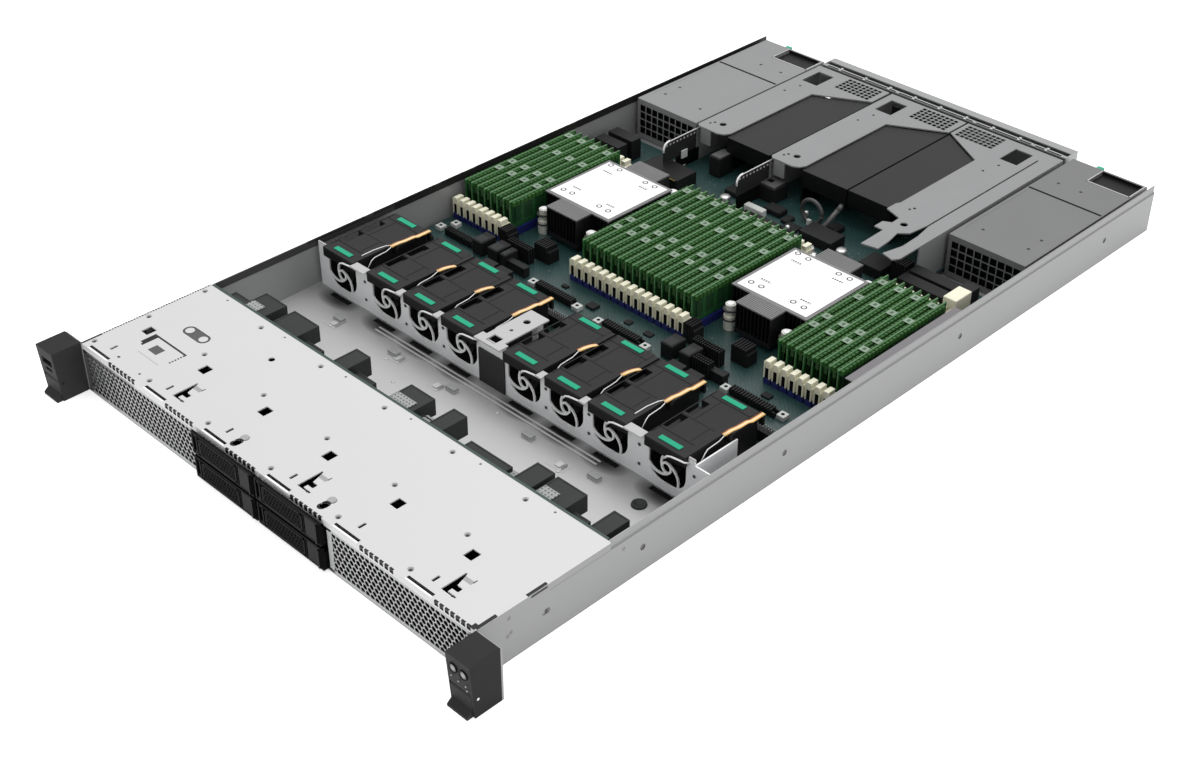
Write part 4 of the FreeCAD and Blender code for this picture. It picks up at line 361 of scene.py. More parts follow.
def perforated(name, low, high, pitch, hole, paint, node, sides=12):
    """An upright perforated sheet: hexagonal cells in staggered rows, each with a round hole.

    The cell's edge is the hexagon r = (pitch / 2) / cos(a mod 60 deg - 30 deg), the hole is
    r = hole, and both are joined on the front and on the back and along the hole's wall. Four
    bars close the sheet at its sides, foot and top.
    """
    width, thickness, rise = high[0] - low[0], high[1] - low[1], high[2] - low[2]
    row_pitch = pitch * math.sqrt(3) / 2
    columns = int(width / pitch - 0.5)
    rows = int((rise - pitch * 0.155) / row_pitch)
    spare_across = (width - (columns + 0.5) * pitch) / 2
    spare_up = (rise - ((rows - 1) * row_pitch + pitch * 2 / math.sqrt(3))) / 2
    column, row = np.meshgrid(np.arange(columns), np.arange(rows))
    across = low[0] + spare_across + (column + 0.5 + 0.5 * (row % 2)) * pitch
    height = low[2] + spare_up + pitch / math.sqrt(3) + row * row_pitch
    angle = 2 * np.pi * np.arange(sides) / sides
    edge = (pitch / 2) / np.cos(np.mod(angle + math.pi / 6, math.pi / 3) - math.pi / 6)
    radii = np.stack([edge, np.full(sides, hole), np.full(sides, hole), edge])
    cells = across.size
    points = np.zeros((cells, 4, sides, 3))
    points[..., 0] = across.reshape(-1, 1, 1) + radii * np.cos(angle)
    points[..., 1] = np.array([low[1], low[1], high[1], high[1]])[None, :, None]
    points[..., 2] = height.reshape(-1, 1, 1) + radii * np.sin(angle)
    quads = (bands(4, sides)[None] + 4 * sides * np.arange(cells)[:, None, None]).reshape(-1, 4)
    web = add_mesh(name, points, [quads], paint, node, merge=pitch * 0.01)
    bar_across, bar_up = spare_across + pitch * 0.5, spare_up + pitch * 0.3
    bars = np.array([[*low, *high]] * 4)
    bars[0, 3] = low[0] + bar_across
    bars[1, 0] = high[0] - bar_across
    bars[2, 5] = low[2] + bar_up
    bars[3, 2] = high[2] - bar_up
    bars[:, 1] += thickness * 0.1
    bars[:, 4] -= thickness * 0.1
    slabs(name + "_rim", bars, paint, node)
    return web


BLACK = (0.008, 0.008, 0.009, 1.0)
DEEP_BLACK = (0.003, 0.003, 0.0035, 1.0)
TEAL = (0.006, 0.34, 0.19, 1.0)
CREAM = (0.78, 0.76, 0.60, 1.0)
NUT_WHITE = (0.86, 0.84, 0.76, 1.0)
SOCKET_BLUE = (0.008, 0.012, 0.110, 1.0)
MEMORY_GREEN = (0.014, 0.085, 0.022, 1.0)
BOARD_GREEN = (0.010, 0.036, 0.034, 1.0)
WHITE_LABEL = (0.88, 0.88, 0.88, 1.0)
GOLD = (0.65, 0.42, 0.12, 1.0)
SIDES = ("left", "right")
COLUMN = 72.6           # pitch of the pattern that repeats along the cover
COVER_TOP = 42.2        # above this only the cover's upper face is left
CAP_TOP = 42.4          # a little below the upper face of the fans' caps
BOARD_TOP = 6.5         # just inside the upper face of the system board
MEMORY_PITCH = 8.0
PIN_PITCH = 2.54
NUT_ASIDE, NUT_ALONG = 28.5, 50.0       # from a heatsink's middle to its nuts
BUTTON_PLACES = (235.4, 226.2)
BUTTON_HEIGHT = 33.8
BANKS = {"left": 8, "middle": 16, "right": 8}
FAN_ACROSS = [span("fan_housing_%d" % index)[0][0] + 19.0 for index in range(1, 9)]
# Where each riser's vents begin on the left, and where its front wing stands.
VENT_PLACES = {"left": (-96.8, -137.0), "middle": (-9.8, -50.0), "right": (41.2, None)}
# Each plug behind the backplane: its left side, width, reach behind the board and top.
PLUG_TOPS = ((-203.0, 19.0, 10.0, 38.0), (-182.0, 26.0, 24.0, 40.0), (-146.0, 30.0, 24.0, 40.0),
             (-114.0, 20.0, 11.0, 34.0), (-72.0, 16.0, 25.0, 40.0), (-54.0, 20.0, 12.0, 34.0),
             (-8.0, 26.0, 24.0, 40.0), (19.5, 15.0, 11.0, 34.0), (36.0, 14.0, 26.0, 40.0),
             (70.0, 42.0, 12.0, 37.0), (123.0, 17.0, 25.0, 40.0), (144.0, 28.0, 24.0, 40.0),
             (174.0, 14.0, 11.0, 34.0), (196.0, 14.0, 25.0, 40.0))


def tray_finish():
    """The tray: plated steel, with painted shade inside the drive bay and on the inside of the left wall, dark strips
    on that wall's top, and painted shadow on the floor in front of the fans.
    """
    paint = zinc_sheet("tray_steel", 0.33)
    across, depth, height = paint.across, paint.depth, paint.height
    bay = paint.patch(-217, 119, 217, 216.9) * (height < 3)
    paint.over(bay, 0.56)
    # Painted shade: the bay's floor darkens towards the fans.
    fan_shade_ramp = ((depth - 120) / 96).at_most(1.0).at_least(0.0)
    paint.over(bay * fan_shade_ramp * fan_shade_ramp * 0.5 * (height < 1.6), 0.10)
    # Painted shadow: a soft dark patch on the floor in front of each fan.
    for centre in FAN_ACROSS:
        aside, along = (across - centre) / 24, (depth - 212) / 13
        fan_shadow = (1.0 - aside * aside - along * along).at_least(0.0)
        paint.over(fan_shadow * bay * 0.95, 0.012)
    ribs = paint.patch(-212, 203.3, 200, 205.3) + paint.patch(-212, 207.5, 200, 209.5)
    paint.over(ribs * (height > 1.6) * 0.9, 0.58)
    # Painted shade: the steel inside the closed drive bay, seen through the grille holes, is painted near black.
    paint.over(paint.patch(-217.3, 0.4, 217.3, 115.9) * height.between(0.6, 41.0), 0.004)
    for front, rear in ((209, 268), (277, 345), (352, 378), (392, 505), (515, 700)):
        paint.over((across < -216.4) * (height > 40.6) * depth.between(front, rear) * 0.9, 0.02)
    # Painted shade on the inside of the left wall, deeper towards the rear.
    inner = across.between(-217.6, -216.0) * (height > 3) * (depth > 119)
    paint.over(inner * 0.9, 0.028)
    paint.over(inner * (depth > 300) * 0.8, 0.012)
    outside = across > 217.9
    paint.over(outside * 0.5, 0.19)
    paint.over(outside * height.between(36.0, 36.6) * (depth > 62) * 0.8, 0.13)
    for spot in (59.6, 146.0, 290.0, 500.0, 706.0):
        paint.over(outside * near(depth - spot, height - 20.6, 2.3) * 0.8, 0.08)
    for spot, rise in ((27.1, 35.0), (25.6, 21.0), (28.4, 22.6), (128.0, 30.0)):
        paint.over(outside * near(depth - spot, height - rise, 1.6) * 0.6, 0.12)
    notch = outside * depth.between(46.0, 60.0)
    paint.over(notch * height.between(39.4, 40.8), 0.01)
    paint.over(notch * height.between(40.8, 41.9) * 0.6, 0.08)
    return paint


def cover_finish():
    """The cover's light speckled coat with its rivets, bumps in painted shade and painted highlight, outline and
    recessed oval.
    """
    coat = 0.60
    paint = Paint("cover_coat", metallic=0.1, specular_ior_level=0.3)
    speck = paint.noise(1700.0, 2.0)
    cloud = paint.noise(14.0)
    tone = speck.to(0.35, 0.65) + cloud.to(-0.03, 0.03)
    paint.feed("Base Color", paint.mix(tone, grey(coat * 0.80), grey(coat * 1.17)))
    paint.feed("Roughness", cloud.to(0.42, 0.55))
    paint.bump(speck, 0.12, 0.0002)
    across, depth, height = paint.across, paint.depth, paint.height
    start = -3 * COLUMN
    column = ((across - start) / COLUMN).fraction() * COLUMN
    on_top = height > COVER_TOP
    for middle, spot, radius, level in ((4.0, 8.5, 1.9, 0.22), (4.0, 56.0, 1.9, 0.22), (4.0, 107.0, 1.9, 0.22),
                                        (4.3, 8.2, 1.2, 0.03), (4.3, 55.7, 1.2, 0.03),
                                        (4.3, 106.7, 1.2, 0.03), (27.5, 111.5, 1.0, 0.12)):
        paint.over(on_top * near(column - middle, depth - spot, radius), level)
    # Each bump: a dark disc and an offset grey disc, the painted shade and painted highlight of a low dome; then the
    # dark recessed oval in front of it.
    for middle in (-36.0, 60.5):
        paint.over(on_top * paint.disc(middle - 0.2, 16.2, 3.5), 0.10)
        paint.over(on_top * paint.disc(middle - 0.8, 16.7, 3.2), 0.36)
        paint.over(on_top * (paint.disc(middle - 0.3, 7.6, 3.2) + paint.disc(middle, 11.2, 3.2)), 0.004)
    dashes = ((depth + 0.2) / 2.4).fraction() < 0.6
    for left, front, right, rear, level in (
            (-186.4, 30.6, -184.0, 46.2, 0.012), (-184.4, 44.5, -149.0, 46.2, 0.012),
            (-189.4, 32.5, -184.0, 46.2, 0.006), (-179.4, 23.7, -153.2, 24.2, 0.30),
            (-176.2, 30.0, -165.6, 38.4, 0.085), (-184.0, 8.6, -181.6, 10.6, 0.03),
            (217.3, 43.0, 220.0, 60.0, 0.01), (217.0, 1.0, 220.0, 18.0, 0.01),
            (-220.0, 1.0, -217.0, 18.0, 0.01), (214.4, -1.0, 218.4, 4.5, 0.01)):
        paint.over(on_top * paint.patch(left, front, right, rear), level)
    paint.over(on_top * paint.patch(-150.6, 31.0, -149.0, 45.0) * dashes, 0.02)
    paint.over(on_top * paint.disc(-153.2, 8.1, 1.0), 0.03)
    paint.over(height.between(42.1, 42.7) * paint.patch(-184.0, 60.0, -150.0, 74.0), 0.09)
    for step in range(3):
        left = (2 * step - 3) * COLUMN + 103.5
        for first, front, last, rear, level in ((2.4, 25.0, 10.8, 28.8, 0.34), (7.7, 15.4, 10.3, 18.4, 0.01),
                                                (10.2, 27.2, 11.1, 31.0, 0.04)):
            paint.over(on_top * paint.patch(left + first, front, left + last, rear), level)
        paint.over(on_top * paint.disc(left + 10.5, 10.6, 1.1), 0.03)
    paint.over(on_top * (across < -217.4) * dashes, 0.05)
    comb = across.between(start, -start) * column.between(35.9, 70.5) * (depth < 1.3) * (height > 39.4)
    paint.over(comb * (((column - 36.0) / 5.0).fraction() < 0.72), 0.006)
    strip = column.between(7.8, 32.8) * on_top
    paint.over(strip * depth.between(0.3, 1.75), 0.85)
    paint.over(strip * depth.between(1.75, 4.1), 0.01)
    paint.over(depth > 115.6, 0.30)
    return paint


def memory_finish():
    """Memory modules: green mask on the card, dark packages on its sides, pale top edges."""
    paint = board_finish("memory_mask", MEMORY_GREEN, pads=False)
    low, high = span("dimm_modules_middle")
    package = ((paint.depth - low[1]) / 13.2).fraction().between(0.1, 0.9)
    paint.over(package * paint.height.between(high[2] - 21, high[2] - 4.5) * 0.8, (0.008, 0.034, 0.012, 1.0))
    paint.over((paint.height > high[2] - 0.25) * 0.75, (0.048, 0.150, 0.038, 1.0))
    return paint


def socket_finish(bank):
    """Memory sockets: dark blue bodies with cream latches and towers."""
    paint = moulded("socket_plastic_" + bank, SOCKET_BLUE, roughness=0.4)
    low, high = span("dimm_sockets_" + bank)
    at_end = (paint.depth < low[1] + 10.2) + (paint.depth > high[1] - 10.2)
    paint.over((paint.height > low[2] + 5.8) * at_end, CREAM)
    return paint


def sink_finish(side):
    """A finned heatsink: light plate above, painted shade between the fins, near black below the plate, pale nuts at
    the corners.
    """
    low, high = span("heatsink_" + side)
    paint = Paint("sink_metal_" + side, metallic=0.5)
    cloud = paint.noise(60.0)
    paint.feed("Base Color", paint.mix(cloud, grey(0.17), grey(0.24)))
    paint.feed("Roughness", cloud.to(0.35, 0.5))
    middle = (low + high) / 2
    aside, along = paint.across - middle[0], paint.depth - middle[1]
    fins = (aside / 1.9).fraction() < 0.45
    # Painted shade in the gaps between the fins at the sink's ends.
    paint.over((along.size() > 39.2) * fins * (paint.height > 36) * 0.8, 0.04)
    paint.over(paint.height < high[2] - 1.3, (0.014, 0.014, 0.016, 1.0))
    paint.over(near(aside.size() - NUT_ASIDE, along.size() - NUT_ALONG, 5.8), NUT_WHITE)
    return paint


def fan_finish(index):
    """A fan's black duct with teal touch points, and its front face painted near black as painted shade."""
    low, high = span("fan_housing_%d" % index)
    paint = moulded("fan_plastic_%d" % index, (0.011, 0.0105, 0.011, 1.0), roughness=0.42, wear=0.2,
                    specular_ior_level=0.22)
    # Painted shade: the duct's front face, below its top, is painted near black.
    paint.over((paint.depth < low[1] + 0.3) * (paint.height < 40.4), 0.001)
    paint.over(paint.height > high[2] - 0.45, TEAL)
    return paint


SUPPLY_HOLES = {"left": ((-201, 636), (-201, 616), (-157, 616), (-180, 729), (-155, 729)),
                "right": ((200, 617), (156, 617), (200, 636), (178, 729), (156, 729))}


def supply_finish(side):
    """A power supply's case: sheet steel, with grid, holes, groove and window in black."""
    low, high = span("psu_" + side)
    paint = zinc_sheet("supply_" + side, {"left": 0.26, "right": 0.185}[side], metallic=0.3)
    grid = paint.depth.between(low[1] + 0.3, low[1] + 2.7) * paint.height.between(low[2] + 3, high[2] - 3)
    paint.over(grid * paint.across.between(low[0] + 2, high[0] - 2), 0.002)
    window = paint.patch(high[0] - 42.1, high[1] - 38.0, high[0] - 2.3, high[1] - 13.6)
    paint.over(window * paint.height.between(high[2] - 3.1, high[2] - 0.05), BLACK)
    on_top = paint.height > high[2] - 0.6
    for across, depth in SUPPLY_HOLES[side]:
        paint.over(on_top * paint.disc(across, depth, 1.5), 0.03)
    paint.over(on_top * paint.patch(low[0] + 1, 704.3, high[0] - 1, 706.9) * 0.95, 0.012)
    paint.over(on_top * paint.patch(low[0] + 3.0, 610.0, low[0] + 3.6, 700.0) * 0.5, 0.07)
    paint.over(paint.depth > high[1] - 11.5, BLACK)
    return paint


def riser_finish():
    """Riser brackets: plated sheet, wider black squares round the vents, and dark dotted wings."""
    paint = zinc_sheet("riser_sheet", 0.265, metallic=0.25)
    top = span("riser_bracket_left")[1][2]
    for vents_left, wing in VENT_PLACES.values():
        left, front = vents_left - 0.7, 738.8
        squares = ((paint.across - left) / 5.0).fraction() < 0.78
        squares = squares * (((paint.depth - front) / 5.0).fraction() < 0.78)
        paint.over(squares * paint.patch(left, front, left + 39.1, 763.4) * (paint.height > top - 1.6), 0.004)
        if wing is not None:
            plate = paint.patch(wing - 1.5, 540, wing + 2.6, 588) * (paint.height < 39.6)
            paint.over(plate * 0.92, 0.006)
            dots = ((paint.depth / 4.6).fraction() < 0.45) * paint.height.between(35.0, 36.8)
            paint.over(plate * (dots + (paint.height > 38.7)).at_most(1.0), 0.5)
    return paint


def ear_finish():
    """The ears' plastic, with painted shade on the right-hand faces and on the left ear's face beside the chassis,
    and the bright ends of the lever pins.
    """
    paint = moulded("ear_plastic", (0.026, 0.026, 0.027, 1.0), roughness=0.6, grain=1400.0,
                    specular_ior_level=0.12)
    # Painted shade on the right ear's outer face and on the left ear's face beside the chassis.
    paint.over((paint.across > 241.2) * 0.6, 0.004)
    paint.over(paint.across.between(-219.5, -219.2) * 0.75, 0.004)
    pin = near(paint.height - 14.4, paint.depth + 18.9, 1.0)
    paint.over((paint.across.size() > 241.2) * pin, 0.7)
    return paint


def grille_finish():
    """The front grilles, with the painted shadow of the left ear darkening them towards it, and painted shade below
    the cover there.
    """
    paint = zinc_sheet("grille_steel", 0.46, metallic=0.2)
    # Painted shadow of the left ear, deeper nearer to it.
    for across, strength in ((-176.0, 0.30), (-193.0, 0.35), (-205.0, 0.45), (-212.5, 0.75)):
        paint.over((paint.across < across) * strength, 0.05)
    # Painted shade below the cover at the left.
    paint.over((paint.height > 34.5) * (paint.across < -150.0) * 0.5, 0.06)
    return paint


rear_steel = zinc_sheet("rear_steel", 0.34)
# Painted light: the fan wall is painted near white so its guards and posts look lit inside the bay, and its top is
# painted darker to offset the stronger light it gets.
wall_steel = zinc_sheet("wall_steel", 0.92, metallic=0.05)
wall_steel.over(wall_steel.height > 41.0, 0.46)
# Painted shade: the drive cage's plated steel is painted near black, as it stands inside the closed bay.
cage_steel = zinc_sheet("cage_steel", 0.02)
grille_steel = grille_finish()
riser_sheet = riser_finish()
black_plastic = moulded("black_plastic", DEEP_BLACK, specular_ior_level=0.07)
divider_plastic = moulded("divider_plastic", (0.030, 0.030, 0.031, 1.0), specular_ior_level=0.3)
divider_plastic.over(((divider_plastic.across / 2.6).fraction() < 0.5)
                     * ((divider_plastic.height / 2.6).fraction() < 0.5), 0.008)
latch_plastic = moulded("latch_plastic", (0.004, 0.004, 0.0045, 1.0), specular_ior_level=0.14)
dark_plastic = moulded("dark_plastic", (0.010, 0.010, 0.0105, 1.0), specular_ior_level=0.22)
plug_plastic = moulded("plug_plastic", (0.026, 0.028, 0.028, 1.0), specular_ior_level=0.2)
ear_plastic = ear_finish()
rotor_plastic = moulded("rotor_plastic", DEEP_BLACK, roughness=0.3, specular_ior_level=0.15)
teal_plastic = moulded("teal_plastic", TEAL, roughness=0.4)
cream_plastic = moulded("cream_plastic", CREAM, roughness=0.4)
button_plastic = moulded("button_plastic", (0.26, 0.26, 0.27, 1.0), roughness=0.3)
off_button = (button_plastic.across - sum(BUTTON_PLACES) / 2).size() - 4.6
button_plastic.over(1.0 - near(off_button, button_plastic.height - BUTTON_HEIGHT, 1.7), 0.05)
card_mask = moulded("card_mask", (0.015, 0.015, 0.0155, 1.0), roughness=0.42, specular_ior_level=0.22)
# Painted shade: all of each riser card below its top face is painted darker, as those faces get less light than the
# top.
card_mask.over(card_mask.height < span("riser_cards")[1][2] - 0.3, (0.0025, 0.0025, 0.003, 1.0))
board_mask = board_finish("board_mask", BOARD_GREEN)
backplane_mask = board_finish("backplane_mask", (0.010, 0.040, 0.034, 1.0), pads=False)
ledge_grey = moulded("ledge_grey", (0.165, 0.155, 0.165, 1.0), roughness=0.4)
ear_mark = moulded("ear_mark", grey(0.30), roughness=0.4)
lid_grey = moulded("lid_grey", (0.085, 0.083, 0.085, 1.0), roughness=0.45)
# Pale grey for the riser wings' rolled edges, a painted highlight.
rim_highlight = moulded("rim_highlight", grey(0.80), roughness=0.45, wear=0.02)
edge_mask = moulded("edge_mask", (0.014, 0.045, 0.036, 1.0), roughness=0.4)
pale_pad = moulded("pale_pad", (0.50, 0.52, 0.50, 1.0), roughness=0.35, wear=0.06)
ring_grey = moulded("ring_grey", grey(0.050), roughness=0.4)
span_green = moulded("span_green", (0.020, 0.060, 0.018, 1.0), roughness=0.6, specular_ior_level=0.1)
span_green.over((((span_green.depth + 1.4) / 2.2).fraction() < 0.5) * 0.8, (0.006, 0.022, 0.006, 1.0))
edge_green = moulded("edge_green", (0.028, 0.096, 0.020, 1.0), roughness=0.45, wear=0.35,
                     specular_ior_level=0.2)
pale_clip = moulded("pale_clip", (0.20, 0.27, 0.20, 1.0), roughness=0.3, wear=0.25)
clip_middle = moulded("clip_middle", (0.03, 0.09, 0.035, 1.0), roughness=0.4)
clip_metal = bare_metal("clip_metal", 0.8, grey(0.55), grey(0.75))
gold_pin = bare_metal("gold_pin", 1.0, shade(GOLD, 0.8), GOLD)
tray_steel = tray_finish()
memory_mask = memory_finish()

finish_of_node = {
    "chassis_tray": tray_steel, "floor_fittings": tray_steel, "rear_panel": rear_steel,
    "front_bay_cover": cover_finish(), "drive_cage": cage_steel, "grille_left": grille_steel,
    "grille_right": grille_steel, "backplane": backplane_mask, "backplane_connectors": plug_plastic,
    "fan_wall": wall_steel, "fan_bridge": wall_steel, "fan_divider": divider_plastic,
    "system_board": board_mask, "board_connectors": dark_plastic, "riser_cards": card_mask,
    "power_button": button_plastic, "locate_button": button_plastic}
for bank in BANKS:
    finish_of_node["dimm_modules_" + bank] = memory_mask
    finish_of_node["dimm_sockets_" + bank] = socket_finish(bank)
    finish_of_node["riser_bracket_" + bank] = riser_sheet
for side in SIDES:
    finish_of_node["heatsink_" + side] = sink_finish(side)
    finish_of_node["psu_" + side] = supply_finish(side)
    finish_of_node["psu_latch_" + side] = teal_plastic
    finish_of_node["ear_" + side] = finish_of_node["ear_lever_" + side] = ear_plastic
for index in range(1, 9):
    finish_of_node["fan_housing_%d" % index] = fan_finish(index)
    finish_of_node["fan_rotor_%d" % index] = rotor_plastic
for index in range(1, 5):
    finish_of_node["drive_carrier_%d" % index] = black_plastic
    finish_of_node["drive_latch_%d" % index] = latch_plastic
for node, paint in finish_of_node.items():
    dress(node, paint)


def front_grilles():
    """The staggered round holes of the two front plates, in place of the coarse solid ones."""
    for side in SIDES:
        node = "grille_" + side
        low, high = span(node)
        high[1] = low[1] + 0.5
        web = perforated("mesh_" + node, low, high, 4.9, 2.26, grille_steel, node)
        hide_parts(node)


def carrier_faces():
    """A fine black perforated plate on the face of each drive carrier, and ridges beside it."""
    for index in range(1, 5):
        node = "drive_carrier_%d" % index
        (left, face, foot), (right, _, top) = span(node)
        perforated("mesh_" + node, (left + 8.6, face - 0.4, foot + 1.6), (left + 52.6, face - 0.02, top - 1.6),
                   3.0, 1.05, black_plastic, node, sides=6)
        slabs("ridges_" + node, [(start, face - 0.5, foot + 1.2, end, face - 0.02, top - 1.2) for start, end in
                                 ((left + 1.6, left + 2.4), (left + 6.2, left + 7.4), (right - 2.0, right - 0.8))],
              black_plastic, node)


def standing(foot, rows):
    """Blocks on one level, from rows of left, front, right, rear and top."""
    return [(left, front, foot, right, rear, top) for left, front, right, rear, top in rows]


def pads(spots, aside, along, foot, top):
    """Blocks round spots seen from above, each reaching that far aside and along from its spot."""
    return [(across - aside, depth - along, foot, across + aside, depth + along, top) for across, depth in spots]


def teeth(left, right, front, rear, top, pitch):
    """Teeth side by side on the system board, each half a pitch wide."""
    return [(left + pitch * step, front, BOARD_TOP, left + pitch * (step + 0.5), rear, top)
            for step in range(int((right - left) / pitch))]


def moved(across, points):
    """A path moved sideways."""
    return np.array(points) + (across, 0.0, 0.0)


def hoop(centre, radius, other, count=33):
    """A path once round a centre, in the plane of across and another axis (1 depth, 2 height)."""
    turn = np.linspace(0.0, 2 * np.pi, count)
    path = np.tile(np.array(centre, float), (count, 1))
    path[:, 0] += radius * np.cos(turn)
    path[:, other] += radius * np.sin(turn)
    return path


def memory_bank(kind, bank):
    """A bank's node, the middles of its places across, and the node's low and high corners."""
    node = "dimm_%s_%s" % (kind, bank)
    low, high = span(node)
    from_middle = np.arange(BANKS[bank]) - (BANKS[bank] - 1) / 2
    return node, (low[0] + high[0]) / 2 + MEMORY_PITCH * from_middle, low, high


def fan_caps():
    """Low ridges along the seams of each fan's cap."""
    for index, centre in enumerate(FAN_ACROSS, 1):
        left, right = centre - 18.8, centre + 18.8
        seams = [(left, 229.6, right - 5.4, 230.4, 42.8), (left, 281.6, right, 282.4, 42.8),
                 (left, 251.8, right - 6.0, 252.4, 42.7), (left, 222.0, left + 0.8, 289.0, 42.8),
                 (centre - 7.4, 253.0, centre - 6.8, 281.0, 42.7), (centre + 8.0, 232.0, centre + 8.6, 251.0, 42.7)]
        slabs("cap_ridges_%d" % index, standing(CAP_TOP, seams), dark_plastic, "fan_housing_%d" % index)


WIRE_COLOURS = {"orange": (0.80, 0.44, 0.14, 1.0), "orange_side": (0.85, 0.50, 0.16, 1.0),
                "sand": (0.95, 0.82, 0.60, 1.0), "red": (0.10, 0.02, 0.015, 1.0)}
WIRE_OFFSETS = {"orange": -1.1, "sand": 0.0, "orange_side": 1.1, "red": -2.2}
LONG_WIRES = (1, 4, 7, 8)       # the fans whose wires run on to the end of the clip
FRONT_WIRES = (1, 7)            # the fans with a second pale wire


def fan_wires():
    """The bundle of thin wires laid in each fan's clip, and a pale wire to it from the front."""
    paints = {name: moulded("wire_" + name, colour, roughness=0.35) for name, colour in WIRE_COLOURS.items()}
    white = moulded("wire_white", grey(0.75), roughness=0.4)
    long_bend = ((20.0, 253.0), (20.2, 261.0), (21.3, 267.0), (21.6, 276.0), (23.0, 279.0), (23.0, 292.0))
    short_bend = ((19.8, 255.0), (20.6, 261.5), (22.2, 266.6), (24.2, 270.2))
    first_pale = ((22.6, 226.5, 34.0), (23.0, 230.6, 40.0), (21.4, 235.0, 40.3), (21.0, 247.5, 40.6),
                  (20.4, 253.0, 41.8), (20.0, 256.0, 42.4))
    second_pale = ((15.0, 224.0, 40.0), (14.8, 228.0, 42.45), (14.8, 240.0, 42.5), (16.4, 250.0, 42.5),
                   (18.4, 254.0, 42.5))
    for index, centre in enumerate(FAN_ACROSS, 1):
        node = "fan_housing_%d" % index
        bend = [(across, depth, 42.36) for across, depth in (long_bend if index in LONG_WIRES else short_bend)]
        for colour, offset in WIRE_OFFSETS.items():
            wires("wire_%s_%d" % (colour, index), [moved(centre + offset, bend)], 0.62, paints[colour], node)
        pale = [moved(centre, first_pale)]
        if index in FRONT_WIRES:
            pale.append(moved(centre, second_pale))
        wires("wire_pale_%d" % index, pale, 0.42, white, node, sides=6)


def wall_details():
    """Rivets on the fan wall's posts, and the outer arc of each finger guard."""
    gaps = [(first + second) / 2 for first, second in zip(FAN_ACROSS[:-1], FAN_ACROSS[1:])]
    gaps.append(FAN_ACROSS[-1] + 24.0)
    spots = [(gap + 1.2, 217.7, height) for gap in gaps if not -20 < gap < 10 for height in (28.4, 11.5)]
    posts("wall_rivets", spots, [(1.35, -0.3), (1.2, 0.1), (0.5, 0.5)], ring_grey, "fan_wall", axis=1)
    arc = ((0.6, 217.4, 32.6), (1.0, 213.6, 33.4), (3.2, 213.6, 36.2), (7.0, 213.6, 37.8), (14.5, 213.6, 38.8),
           (18.6, 213.9, 38.9), (19.8, 217.6, 36.9))
    wires("guard_arcs", [moved(centre, arc) for centre in FAN_ACROSS], 0.75, wall_steel, "fan_wall")


def bay_floor():
    """Pads, folded clips, rivets and a round plug on the tray's floor, and black sheets in its slots as painted
    shade.
    """
    rows = []
    for across, depth, wide in ((-160.0, 187.0, 8.0), (-86.5, 191.0, 8.0), (-37.0, 188.0, 6.0), (99.0, 186.0, 9.0)):
        rows += standing(1.1, [(across - wide, depth - 5.5, across + wide, depth + 5.5, 1.4),
                               (across - 2.0, depth - 3.0, across + 3.0, depth + 3.0, 2.2),
                               (across + 5.0, depth - 3.0, across + 5.8, depth + 3.0, 3.6)])
    slabs("floor_pads", rows, tray_steel, "chassis_tray", 0.3)
    spots = ((-160.0, 183.0), (-92.0, 184.0), (21.6, 197.1), (4.0, 168.0), (-64.0, 168.0), (104.0, 180.0),
             (52.0, 160.0), (140.0, 160.0), (-24.0, 205.0))
    posts("floor_rivets", [(*spot, 1.15) for spot in spots], [(1.7, 0.0), (1.5, 0.4), (0.7, 0.65)], tray_steel,
          "chassis_tray")
    posts("floor_plug", [(170.6, 193.6, 1.1)], [(6.0, 0.0), (5.6, 1.4), (4.2, 1.6), (3.0, 0.5)], plug_plastic,
          "chassis_tray", sides=20)
    # Painted shade: black sheets fill the floor's slots, standing in for the shade below the chassis.
    slots = [(centre - 11.8, 211.7, 0.05, centre + 11.8, 216.8, 0.5) for centre in FAN_ACROSS]
    slabs("slot_shade_sheets", slots, black_plastic, "chassis_tray")


def plug_fronts():
    """Pale sockets on the backplane beside its plugs, the plugs' lids, and the board's edge and chips."""
    white = moulded("plug_white", (0.30, 0.31, 0.31, 1.0), roughness=0.4)
    contacts = ((white.across / 3.1).fraction() < 0.42) * (((white.depth - 0.1) / 3.1).fraction() < 0.42)
    white.over(contacts, 0.05)
    pale = [(22.0, 118.0, 28.0, 35.8, 131.0, 34.0), (112.3, 118.0, 28.0, 122.8, 131.0, 34.0),
            (-7.2, 119.0, 39.9, 13.0, 129.5, 40.4), (145.0, 119.0, 39.9, 159.0, 129.5, 40.4),
            (-118.0, 118.0, 28.0, -116.2, 129.0, 34.0), (-180.0, 119.0, 39.9, -166.0, 129.0, 40.4)]
    slabs("backplane_pale", pale, white, "backplane_connectors", 0.2)
    lids = [(left + 1.2, 119.2, top - 1.3, left + width - 1.2, 118 + reach - 1.2, top - 0.3)
            for left, width, reach, top in PLUG_TOPS]
    slabs("plug_lids", lids, plug_plastic, "backplane_connectors")
    slabs("board_edge", [(-216.0, 116.3, 40.0, 216.0, 118.3, 42.9)], edge_mask, "backplane")
    chips = [(-170.0 + 36.0 * step, 118.0, 33.0, -166.0 + 36.0 * step, 119.4, 38.0) for step in range(11)]
    slabs("backplane_chips", chips, dark_plastic, "backplane")


def socket_legs():
    """Dark gaps in the cream feet of the memory latches, and cream ribs in front of them."""
    for bank in BANKS:
        node, places, low, high = memory_bank("sockets", bank)
        gaps = pads([(place, edge) for place in places for edge in (low[1], high[1])], 1.5, 0.3, 12.6, 21.0)
        slabs("socket_gaps_" + bank, gaps, black_plastic, node)
        ribs = pads([(place + side, low[1] - 0.3) for side in (-2.5, 2.5) for place in places],
                    0.4, 0.3, 12.0, 26.5)
        slabs("socket_ribs_" + bank, ribs, cream_plastic, node)


